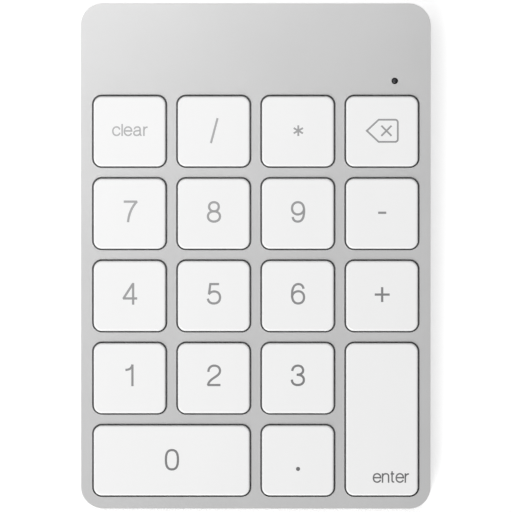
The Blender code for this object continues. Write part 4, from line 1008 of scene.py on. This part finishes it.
def flared_well(bm, well, middle, sizes):
    """A rounded prism that widens at 45 degrees just under the deck's surface."""
    start = set(bm.verts)
    deep = 3 * sizes.sheet
    low = -sizes.well_chamfer
    size = (well.x, well.y, deep)
    rounded_prism(bm, size, (middle.x, middle.y, low - deep / 2), sizes.well_corner, 12)
    own = [vertex for vertex in bm.verts if vertex not in start]
    top = [
        face
        for face in bm.faces
        if face.verts[0] in own and all(abs(vertex.co.z - low) < WELD for vertex in face.verts)
    ]
    raised = bmesh.ops.extrude_face_region(bm, geom=top)
    verts = [item for item in raised["geom"] if isinstance(item, bmesh.types.BMVert)]
    rise = 4 * sizes.well_chamfer
    bmesh.ops.translate(bm, vec=(0, 0, rise), verts=verts)
    grow = ((well.x + 2 * rise) / well.x, (well.y + 2 * rise) / well.y, 1)
    pivot = Matrix.Translation((-middle.x, -middle.y, 0))
    bmesh.ops.scale(bm, vec=grow, space=pivot, verts=verts)
    bmesh.ops.delete(bm, geom=[face for face in top if face.is_valid], context="FACES_ONLY")


def slider_slot():
    """The opening that the power knob moves in, in its two places."""
    middle = span("power_slider")[2]
    travel = JOINTS["power_slide"]["range_m"][1]
    reach = Vector((KNOB_LENGTH / 2 + SLOT_GAP, 0, KNOB_HEIGHT / 2 + SLOT_GAP))
    return middle - reach, middle + reach + Vector((travel, 0, 0))


class KEYPAD_OT_case(bpy.types.Operator):
    """Build the blasted metal case with its key wells and rear openings"""

    bl_idname = "keypad.case"
    bl_label = "Case"

    def execute(self, context):
        sizes = context.scene.keypad_sizes
        colours = context.scene.keypad_colours
        solid, edge = case_wedge(0.0, CASE_LOW.z, 0.0, 24)
        round_edges(solid, edge, sizes.deck_edge, 5)
        foot = rim(solid, lambda place: place.z < CASE_LOW.z + NEAR)
        round_edges(solid, foot, sizes.well_chamfer * 2, 2)
        mesh = cut_mesh(mesh_from(solid), case_cutters(sizes))
        finish = blasted_aluminium(colours.aluminium)
        add_piece("case", mesh, finish, "case", ["top_case"])
        self.add_bosses(sizes, finish)
        return {"FINISHED"}

    def add_bosses(self, sizes, finish):
        """The posts inside the case that take the cover's screws."""
        bm = bmesh.new()
        for corner in CORNERS:
            _, high, middle = span("cover_screw_" + corner)
            rear = corner.startswith("rear")
            radius = REAR_BOSS if rear else FRONT_BOSS
            top = height_below_deck(middle.y, sizes.sheet - BOSS_BITE)
            bottom = REAR_BOSS_BOTTOM if rear else height_below_deck(middle.y, -PLATE_TOP_HEIGHT)
            bottom += BOSS_CLEARANCE
            hole = high.z + BOSS_CLEARANCE
            profile = [(0, top), (radius, top), (radius, bottom)]
            profile += [(PILOT, bottom), (PILOT, hole), (0, hole)]
            bm.from_mesh(turned(profile, 32, Matrix.Translation((middle.x, middle.y, 0))))
        mesh = mesh_from(bm)
        add_piece("case_bosses", mesh, finish, "case", flat_faces=False)


def height_below_deck(y, depth):
    """The height of the plane at a depth below the deck, above a place on the desk."""
    return DECK_MIDDLE + y * math.tan(DECK_SLOPE) - depth / math.cos(DECK_SLOPE)


# ---------------------------------------------------------------- pieces: keys


def cap_shell(name, sizes):
    """A hollow cap with a softly rounded upper edge, in deck coordinates."""
    low, high, middle = cap_span(name)
    size = high - low
    bm = bmesh.new()
    top, bottom = high.z, high.z - SKIRT_HEIGHT
    corner = sizes.well_corner - sizes.well_gap
    place = (middle.x, middle.y, (top + bottom) / 2)
    rounded_prism(bm, (size.x, size.y, top - bottom), place, corner, 12)
    under = [face for face in bm.faces if face.normal.z < -0.9]
    bmesh.ops.inset_region(bm, faces=under, thickness=sizes.cap_wall, use_even_offset=True)
    pushed = bmesh.ops.extrude_face_region(bm, geom=under)
    ceiling = [item for item in pushed["geom"] if isinstance(item, bmesh.types.BMVert)]
    bmesh.ops.translate(bm, vec=(0, 0, top - bottom - sizes.cap_top), verts=ceiling)
    bmesh.ops.delete(bm, geom=[face for face in under if face.is_valid], context="FACES_ONLY")
    round_edges(bm, rim(bm, lambda place: place.z > top - NEAR), sizes.cap_edge, 5)
    return bm, top - sizes.cap_top


def add_cap_fittings(bm, name, ceiling):
    """The dome pad and the clips that hold the levers and, under a long cap, its wire."""
    middle = cap_span(name)[2]
    root = ceiling + BITE
    pad = bmesh.ops.create_cone(
        bm, cap_ends=True, segments=32, radius1=PAD_RADIUS, radius2=PAD_RADIUS, depth=PAD_HEIGHT
    )
    spot = (middle.x, middle.y, root - PAD_HEIGHT / 2)
    bmesh.ops.translate(bm, vec=spot, verts=pad["verts"])
    at = Matrix.Translation((middle.x, middle.y, 0))
    add_clip(bm, at, (0, OUTER_CLIP[0]), -1, WIDE_CLIP, OUTER_CLIP, root)
    for side in (-1, 1):
        add_clip(bm, at, (side * INNER_CLIP_X, -INNER_CLIP[0]), -1, CLIP_WIDTH, INNER_CLIP, root)
    if "stabilizer_" + name in NODES:
        turn = at @ Matrix.Rotation(math.radians(-90 if name == "enter" else 0), 4, "Z")
        for side in (-1, 1):
            place = (side * WIRE_CLIP_X, WIRE_CLIP[0])
            add_clip(bm, turn, place, 1, CLIP_WIDTH, WIRE_CLIP, root)


def add_clip(bm, at, place, facing, width, clip, root):
    """An L that hangs from a cap, its lip reaching under a bar towards +Y (1) or -Y (-1)."""
    _, lip, reach = clip
    low = lip - CLIP_LIP
    outline = ((0, root), (0, lip), (reach, lip), (reach, low), (-CLIP_LEG, low), (-CLIP_LEG, root))
    verts = [bm.verts.new((-width / 2, facing * along, up)) for along, up in outline]
    side = bm.faces.new(verts)
    pushed = bmesh.ops.extrude_face_region(bm, geom=[side])["geom"]
    moved = [item for item in pushed if isinstance(item, bmesh.types.BMVert)]
    bmesh.ops.translate(bm, vec=(width, 0, 0), verts=moved)
    own = set(verts + moved)
    bmesh.ops.transform(bm, matrix=at @ Matrix.Translation((*place, 0)), verts=verts + moved)
    faces = [face for face in bm.faces if face.verts[0] in own]
    bmesh.ops.recalc_face_normals(bm, faces=faces)
    round_edges(bm, [edge for edge in bm.edges if edge.verts[0] in own], BITE, 1)


class KEYPAD_OT_keycaps(bpy.types.Operator):
    """Build the eighteen keycaps"""

    bl_idname = "keypad.keycaps"
    bl_label = "Keycaps"

    def execute(self, context):
        sizes = context.scene.keypad_sizes
        finish = satin_moulding("keycap_plastic", context.scene.keypad_colours.cap, 0.30, coat=0.15)
        for name in KEY_NAMES:
            bm, ceiling = cap_shell(name, sizes)
            add_cap_fittings(bm, name, ceiling)
            mesh = mesh_from(bm, DECK)
            add_piece("cap_" + name, mesh, finish, "key_" + name, ["keycap_" + name])
        return {"FINISHED"}


class KEYPAD_OT_legends(bpy.types.Operator):
    """Print the digits, signs and words on the keycaps"""

    bl_idname = "keypad.legends"
    bl_label = "Legends"

    def execute(self, context):
        sizes = context.scene.keypad_sizes
        colours = context.scene.keypad_colours
        finish = printed_ink(colours.ink, colours.ink_painted_sheen)
        for name in KEY_NAMES:
            _, high, middle = cap_span(name)
            if name == "decimal":
                mesh = point_mesh(middle.xy + Vector((PRINT_SHIFT, RISES[name])), high.z)
            else:
                strokes, width, centre = legend_strokes(name, sizes)
                mesh = ink_mesh(strokes, width, centre, high.z)
            add_piece("legend_" + name, mesh, finish, "key_" + name, sharp=60, flat_faces=False)
        return {"FINISHED"}


# ---------------------------------------------------------------- pieces: linkage


def lever_frame(half, angle, height):
    """A flat frame of square bars, rounded at its edges, tilted about the middle pins."""
    bm = bmesh.new()
    verts = bmesh.ops.create_cube(bm, size=1.0)["verts"]
    bmesh.ops.scale(bm, vec=(2 * half[0], 2 * half[1], LEVER_THICKNESS), verts=verts)
    upright = [edge for edge in bm.edges if edge.verts[0].co.z * edge.verts[1].co.z < 0]
    round_edges(bm, upright, LEVER_BAR * LEVER_ROUNDING, 4)
    faces = [face for face in bm.faces if abs(face.normal.z) > 0.9]
    bmesh.ops.inset_individual(bm, faces=faces, thickness=LEVER_BAR, use_even_offset=True)
    loops = [edge for face in faces for edge in face.edges]
    bmesh.ops.delete(bm, geom=faces, context="FACES_ONLY")
    bmesh.ops.bridge_loops(bm, edges=loops)
    bmesh.ops.recalc_face_normals(bm, faces=bm.faces)
    bm.transform(Matrix.Translation((0, 0, height)) @ Matrix.Rotation(angle, 4, "X"))
    return bm


def dome_shell(base, top, placing):
    """A hollow silicone dome that stands on its sheet."""
    shoulder = top - DOME_EDGE
    profile = [(0.0, top), (DOME_TOP * DOME_FLAT, top), (DOME_TOP, shoulder)]
    for step in range(1, 8):
        along = step / 8
        swell = DOME_SWELL * math.sin(math.pi * along)
        radius = DOME_TOP + (DOME_BASE - DOME_TOP) * (along - swell)
        profile.append((radius, shoulder + (base - shoulder) * along))
    profile += [(DOME_BASE, base), (DOME_BASE - DOME_WALL, base)]
    profile += [(DOME_TOP - DOME_WALL / 2, top - DOME_WALL), (0.0, top - DOME_WALL)]
    return turned(profile, 32, placing)


class KEYPAD_OT_linkage(bpy.types.Operator):
    """Build the scissor levers and the return domes"""

    bl_idname = "keypad.linkage"
    bl_label = "Levers and domes"

    def execute(self, context):
        low, high = LEVER_LOW, LEVER_HIGH
        outer = ((high.x - low.x) / 2, (high.y - low.y) / 2)
        rise = high.z - low.z - LEVER_THICKNESS
        angle = math.asin(rise / (2 * outer[1]))
        outer = (outer[0], outer[1] / math.cos(angle) - LEVER_PLAY)
        inner = (outer[0] - LEVER_BAR - LEVER_NEST, outer[1] - LEVER_BAR - LEVER_NEST / 2)
        inner_angle = math.asin(rise / (2 * inner[1]))
        lever = satin_moulding("lever_acetal", (0.62, 0.62, 0.60), 0.38)
        silicone = clear_silicone()
        pad_bottom = CAP_CEILING - PAD_HEIGHT
        dome_top = pad_bottom - DOME_TO_PAD
        ceiling = CAP_CEILING - LEVER_PLAY
        keep = (ceiling - TRAVEL - low.z) / (ceiling - low.z)
        dome_keep = (pad_bottom - LEVER_PLAY - TRAVEL - SHEET_TOP) / (dome_top - SHEET_TOP)
        for name in KEY_NAMES:
            place = on_deck(cap_span(name)[2])
            for kind, half, tilt in (("outer", outer, angle), ("inner", inner, -inner_angle)):
                mesh = mesh_from(lever_frame(half, tilt, LEVER_CENTRE.z), place)
                node = ["scissor_" + name] if kind == "outer" else []
                piece_name = f"{kind}_lever_{name}"
                piece = add_piece(piece_name, mesh, lever, "case", node, flat_faces=False)
                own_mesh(piece)
            mesh = dome_shell(SHEET_TOP + DOME_TO_SHEET, dome_top, place)
            dome = add_piece("dome_" + name, mesh, silicone, "case", flat_faces=False)
            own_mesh(dome)
        self.add_sheet(silicone)
        return {"FINISHED"}

    def add_sheet(self, silicone):
        """The thin sheet that the domes stand on."""
        bm = bmesh.new()
        size = (*(SHEET_HIGH - SHEET_LOW).xy, SHEET_THICKNESS)
        height = (SHEET_TOP + SHEET_LOW.z) / 2
        rounded_prism(bm, size, (*SHEET_CENTRE.xy, height), SHEET_CORNER, 10)
        slots = bmesh.new()
        for name in KEY_NAMES:
            spot = cap_span(name)[2]
            for x, y, width in HOOK_SLOTS:
                place = (spot.x + x, spot.y + y, height)
                rounded_prism(slots, (width, SLOT_DEPTH, THROUGH), place, SLOT_CORNER, 4)
        for corner in CORNERS[2:]:
            place = (*span("cover_screw_" + corner, DECK)[2].xy, height)
            hole = 2 * (FRONT_BOSS + BOSS_CLEARANCE)
            rounded_prism(slots, (hole, hole, THROUGH), place, hole / 2 - HOLE_FLAT, 8)
        mesh = cut_mesh(mesh_from(bm), [mesh_from(slots)])
        mesh.transform(DECK)
        add_piece("silicone_sheet", mesh, silicone, "case", ["dome_sheet"])


# ---------------------------------------------------------------- pieces: light, underside, rear


class KEYPAD_OT_light(bpy.types.Operator):
    """Build the smoked lens of the status light"""

    bl_idname = "keypad.light"
    bl_label = "Status light"

    def execute(self, context):
        low, high, middle = span("light_pipe", DECK)
        radius = LIGHT_HOLE - LENS_GAP
        flange = (high.x - low.x) / 2
        ball = radius / math.sin(math.radians(LENS_ARC))
        profile = [(0.0, LENS_TOP)]
        for step in range(1, 10):
            angle = math.radians(LENS_ARC / 9 * step)
            profile.append((ball * math.sin(angle), LENS_TOP - ball * (1 - math.cos(angle))))
        profile += [(radius, FLANGE_TOP), (flange, FLANGE_TOP), (flange, FLANGE_BOTTOM)]
        profile += [(radius, FLANGE_BOTTOM), (radius, low.z), (0.0, low.z)]
        place = on_deck(middle)
        mesh = turned(profile, 48, place)
        finish = smoked_lens(context.scene.keypad_colours.lens, place @ Vector(GLINT_PLACE))
        add_piece("status_lens", mesh, finish, "case", ["light_pipe"], flat_faces=False)
        return {"FINISHED"}


class KEYPAD_OT_underside(bpy.types.Operator):
    """Build the feet and the cover screws, and finish the bottom cover"""

    bl_idname = "keypad.underside"
    bl_label = "Underside"

    def execute(self, context):
        scene = context.scene
        rubber = moulded_rubber(scene.keypad_colours.rubber)
        steel = brushed_steel("screw_steel", scene.keypad_colours.steel, (900, 900, 9000), 0.24)
        cover = satin_moulding("cover_plastic", scene.keypad_colours.cover, 0.42, 3800)
        paint_node("bottom_cover", cover)
        for corner in CORNERS:
            self.add_foot(corner, rubber, scene.keypad_sizes)
            self.add_screw(corner, steel)
        return {"FINISHED"}

    def add_foot(self, corner, rubber, sizes):
        low, high, middle = span("foot_" + corner)
        radius, height, edge = (high.x - low.x) / 2, high.z - low.z, sizes.foot_edge
        profile = [(0.0, 0.0), (radius * FOOT_FLAT, 0.0)]
        for step in range(0, 7):
            angle = math.radians(15 * step)
            out = radius - edge + edge * math.sin(angle)
            profile.append((out, edge - edge * math.cos(angle)))
        profile += [(radius, height), (0.0, height)]
        mesh = turned(profile, 72, Matrix.Translation((middle.x, middle.y, low.z)))
        name = "rubber_foot_" + corner
        add_piece(name, mesh, rubber, "case", ["foot_" + corner], flat_faces=False)

    def add_screw(self, corner, steel):
        """A pan-head screw with a cross recess, its head down."""
        low, high, middle = span("cover_screw_" + corner)
        head, end = (high.x - low.x) / 2, high.z - low.z
        profile = [(0.0, 0.0)]
        for step in range(1, 7):
            angle = math.radians(15 * step)
            crown = SCREW_CROWN * SCREW_HEAD * (1 - math.cos(angle))
            profile.append((head * math.sin(angle), crown))
        height = SCREW_HEAD + SCREW_NECK
        profile += [(head, SCREW_HEAD), (SCREW_SHANK, SCREW_HEAD), (SCREW_SHANK, height)]
        while height + THREAD_PITCH < end - SCREW_SHANK:
            profile.append((SCREW_SHANK - THREAD_DEPTH, height + THREAD_PITCH / 2))
            height += THREAD_PITCH
            profile.append((SCREW_SHANK, height))
        profile.append((0.0, end))
        recess = []
        reach = head * CROSS_REACH
        for size in ((reach, CROSS_WIDTH), (CROSS_WIDTH, reach)):
            arm = bmesh.new()
            bmesh.ops.create_cube(arm, size=1.0)
            bmesh.ops.scale(arm, vec=(*size, 2 * CROSS_DEPTH), verts=arm.verts)
            verts = [vertex for vertex in arm.verts if vertex.co.z > 0]
            bmesh.ops.scale(arm, vec=(CROSS_TAPER, CROSS_TAPER, 1), verts=verts)
            recess.append(mesh_from(arm))
        mesh = cut_mesh(turned(profile, 40), recess)
        mesh.transform(Matrix.Translation((middle.x, middle.y, low.z)))
        name = "screw_" + corner
        add_piece(name, mesh, steel, "case", ["cover_screw_" + corner], flat_faces=False)


class KEYPAD_OT_rear(bpy.types.Operator):
    """Build the charging socket and the power knob in the rear wall"""

    bl_idname = "keypad.rear"
    bl_label = "Socket and power knob"

    def execute(self, context):
        colours = context.scene.keypad_colours
        self.add_socket(colours)
        self.add_knob(context.scene.keypad_sizes, colours)
        return {"FINISHED"}

    def add_socket(self, colours):
        low, high, middle = span("usb_socket")
        size, wall = high - low, SHELL_WALL
        corner = size.z / 2 - SHELL_EDGE
        steel = brushed_steel("socket_steel", colours.steel, (9000, 700, 9000), 0.22)
        black = satin_moulding("socket_insulator", (0.012, 0.012, 0.013), 0.42)
        shell = bmesh.new()
        rounded_prism(shell, size, middle, corner, 14, along=1)
        ends = rim(shell, lambda place: place.y > high.y - NEAR)
        round_edges(shell, ends, SHELL_EDGE, 2)
        inside = bmesh.new()
        hollow = (size.x - 2 * wall, size.y, size.z - 2 * wall)
        place = (middle.x, middle.y + SHELL_BACK, middle.z)
        rounded_prism(inside, hollow, place, corner - wall, 14, along=1)
        mesh = cut_mesh(mesh_from(shell), [mesh_from(inside)])
        add_piece("socket_shell", mesh, steel, "case", ["usb_socket"])
        back = bmesh.new()
        plug = (hollow[0] - PLUG_GAP, PLUG_THICKNESS, hollow[2] - PLUG_GAP)
        place = (middle.x, low.y + PLUG_START, middle.z)
        rounded_prism(back, plug, place, corner - wall - PLUG_GAP, 14, along=1)
        tongue = bmesh.new()
        start, reach = low.y + TONGUE_START, TONGUE[1]
        place = (middle.x, start + reach / 2, middle.z)
        rounded_prism(tongue, TONGUE, place, TONGUE_CORNER, 4, along=1)
        tip = rim(tongue, lambda spot: spot.y > start + reach - NEAR)
        round_edges(tongue, tip, TONGUE_EDGE, 3)
        add_piece("socket_back", mesh_from(back), black, "case")
        add_piece("socket_tongue", mesh_from(tongue), black, "case")
        pads = bmesh.new()
        for side in (-1, 1):
            for number in range(CONTACTS):
                x = middle.x + (number - (CONTACTS - 1) / 2) * CONTACT_PITCH
                rise = side * (TONGUE[2] / 2 + CONTACT_RISE)
                spot = (x, place[1] + CONTACT_SHIFT, middle.z + rise)
                rounded_prism(pads, CONTACT, spot, CONTACT_CORNER, 2, along=1)
        add_piece("socket_contacts", mesh_from(pads), plated_contact(), "case")

    def add_knob(self, sizes, colours):
        low, high, middle = span("power_slider")
        plastic = satin_moulding("knob_plastic", colours.knob, 0.40)
        flange_rear = CASE_HIGH.y - sizes.wall - FLANGE_GAP
        flange = bmesh.new()
        size = (high.x - low.x, FLANGE, high.z - low.z)
        place = (middle.x, flange_rear - FLANGE / 2, middle.z)
        rounded_prism(flange, size, place, FLANGE_CORNER, 4, along=1)
        knob = bmesh.new()
        reach = high.y - flange_rear + KNOB_ROOT
        size = (KNOB_LENGTH, reach, KNOB_HEIGHT)
        place = (middle.x, high.y - reach / 2, middle.z)
        rounded_prism(knob, size, place, KNOB_CORNER, 10, along=1)
        round_edges(knob, rim(knob, lambda spot: spot.y > high.y - NEAR), KNOB_EDGE, 3)
        ridges = bmesh.new()
        for number in range(RIDGES):
            x = middle.x + (number - (RIDGES - 1) / 2) * RIDGE_PITCH
            bmesh.ops.create_cone(
                ridges,
                cap_ends=True,
                segments=16,
                radius1=RIDGE_RADIUS,
                radius2=RIDGE_RADIUS,
                depth=2 * KNOB_HEIGHT,
                matrix=Matrix.Translation((x, high.y + RIDGE_OUT, middle.z)),
            )
        mesh = cut_mesh(mesh_from(knob), [mesh_from(ridges)])
        add_piece("power_knob", mesh, plastic, "power_slider", ["power_slider"])
        add_piece("power_knob_flange", mesh_from(flange), plastic, "power_slider")


# ---------------------------------------------------------------- inner parts and stage


class KEYPAD_OT_inside(bpy.types.Operator):
    """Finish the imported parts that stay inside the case"""

    bl_idname = "keypad.inside"
    bl_label = "Inner parts"

    def execute(self, context):
        steel = context.scene.keypad_colours.steel
        finishes = {
            "membrane": printed_film(),
            "base_plate": brushed_steel("plate_steel", steel, (400, 6000, 6000), 0.34),
            "stabilizer_0": brushed_steel("wire_steel", steel, (500, 9000, 9000), 0.25),
            "controller_board": board_laminate(),
            "battery": pouch_foil(),
            "battery_lead": satin_moulding("lead_sleeve", (0.02, 0.02, 0.02), 0.5),
            "tail_connector": satin_moulding("connector_nylon", (0.70, 0.67, 0.58), 0.5),
            "power_switch": brushed_steel("switch_steel", steel, (6000, 600, 6000), 0.3),
            "status_led": satin_moulding("led_package", (0.75, 0.75, 0.62), 0.3),
        }
        finishes["stabilizer_enter"] = finishes["stabilizer_0"]
        for node, finish in finishes.items():
            paint_node(node, finish)
        return {"FINISHED"}


class KEYPAD_OT_stage(bpy.types.Operator):
    """Set up the floor, the lights and the camera"""

    bl_idname = "keypad.stage"
    bl_label = "Stage"

    def execute(self, context):
        scene = context.scene
        floor = bpy.data.meshes.new("floor")
        bm = bmesh.new()
        bmesh.ops.create_grid(bm, x_segments=1, y_segments=1, size=FLOOR_SIZE)
        bm.to_mesh(floor)
        bm.free()
        paint = Paint("floor_paper")
        mottle = paint.noise(30, 2.0)
        side, front, rear = CASE_HIGH.x, CASE_LOW.y, CASE_HIGH.y
        across, along = paint.along(0), paint.along(1)
        edges = paint.ramp(across, FADE_RIGHT, side) * paint.ramp(along, FADE_REAR, rear)
        right = paint.ramp(across, RIGHT_SIDE, side) * paint.ramp(along, RIGHT_FRONT, front)
        behind = paint.ramp(along, REAR_SIDE, rear) * paint.ramp(across, REAR_LEFT, -side)
        # painted light: the floor glows more in patches to the right of and behind the case, where
        # the keypad's shadow falls, and so lifts that shadow
        shaded = edges * (right + behind)
        dim = (FLOOR_GLOW / SHADE_GLOW,) * 3
        floor.materials.append(
            paint.done(
                Base_Color=paint.blend(mottle, (0.93, 0.93, 0.93), (0.95, 0.95, 0.95)),
                Roughness=0.9,
                Emission_Color=paint.blend(shaded, dim, (1.0, 1.0, 1.0)),
                Emission_Strength=SHADE_GLOW,
            )
        )
        sheet = bpy.data.objects.new("floor", floor)
        sheet.location.z = CAD_BOX[0].z - FLOOR_DROP
        scene.collection.objects.link(sheet)
        self.add_world(scene)
        for name, light in LIGHTS.items():
            self.add_light(name, *light)
        self.add_camera(scene)
        return {"FINISHED"}

    def add_world(self, scene):
        world = bpy.data.worlds.new("studio")
        scene.world = world
        world.use_nodes = True
        background = world.node_tree.nodes["Background"]
        background.inputs["Color"].default_value = (1.0, 1.0, 1.0, 1.0)
        background.inputs["Strength"].default_value = WORLD_STRENGTH
        scene.view_settings.view_transform = "Standard"

    def add_light(self, name, place, target, size, power):
        """A softbox that faces a target, its sides turned to the keypad's diagonal."""
        lamp = bpy.data.lights.new(name, "AREA")
        lamp.shape = "RECTANGLE"
        lamp.size, lamp.size_y = size
        lamp.energy = power
        holder = bpy.data.objects.new(name, lamp)
        aim = (Vector(target) - Vector(place)).to_track_quat("-Z", "Y").to_matrix().to_4x4()
        turn = Matrix.Rotation(math.radians(45), 4, "Z")
        holder.matrix_world = Matrix.Translation(place) @ aim @ turn
        holder.visible_camera = False
        bpy.context.scene.collection.objects.link(holder)

    def add_camera(self, scene):
        camera = bpy.data.cameras.new("camera")
        camera.sensor_width = 36.0
        camera.lens = camera.sensor_width * CAMERA_DISTANCE / VIEW_WIDTH
        camera.clip_end = 2 * CAMERA_DISTANCE
        holder = bpy.data.objects.new("camera", camera)
        holder.location = (CAMERA_OFFSET[0], CAMERA_OFFSET[1], CAMERA_DISTANCE)
        scene.collection.objects.link(holder)
        scene.camera = holder


class KEYPAD_PT_panel(bpy.types.Panel):
    """Buttons for each group of pieces"""

    bl_idname = "KEYPAD_PT_panel"
    bl_label = "Numeric Keypad"
    bl_space_type = "VIEW_3D"
    bl_region_type = "UI"
    bl_category = "Keypad"

    def draw(self, context):
        layout = self.layout
        for operator in OPERATORS:
            layout.operator(operator.bl_idname)
        for group in (context.scene.keypad_sizes, context.scene.keypad_colours):
            for name in group.__annotations__:
                layout.prop(group, name)


OPERATORS = (
    KEYPAD_OT_case,
    KEYPAD_OT_keycaps,
    KEYPAD_OT_legends,
    KEYPAD_OT_linkage,
    KEYPAD_OT_light,
    KEYPAD_OT_underside,
    KEYPAD_OT_rear,
    KEYPAD_OT_inside,
    KEYPAD_OT_stage,
)
CLASSES = (KeypadSizes, KeypadColours, *OPERATORS, KEYPAD_PT_panel)


def register():
    for item in CLASSES:
        bpy.utils.register_class(item)
    bpy.types.Scene.keypad_sizes = PointerProperty(type=KeypadSizes)
    bpy.types.Scene.keypad_colours = PointerProperty(type=KeypadColours)


def unregister():
    del bpy.types.Scene.keypad_colours
    del bpy.types.Scene.keypad_sizes
    for item in reversed(CLASSES):
        bpy.utils.unregister_class(item)


def main():
    register()
    for operator in OPERATORS:
        getattr(bpy.ops.keypad, operator.bl_idname.split(".")[1])()
    bpy.context.view_layer.update()


if __name__ == "__main__":
    main()
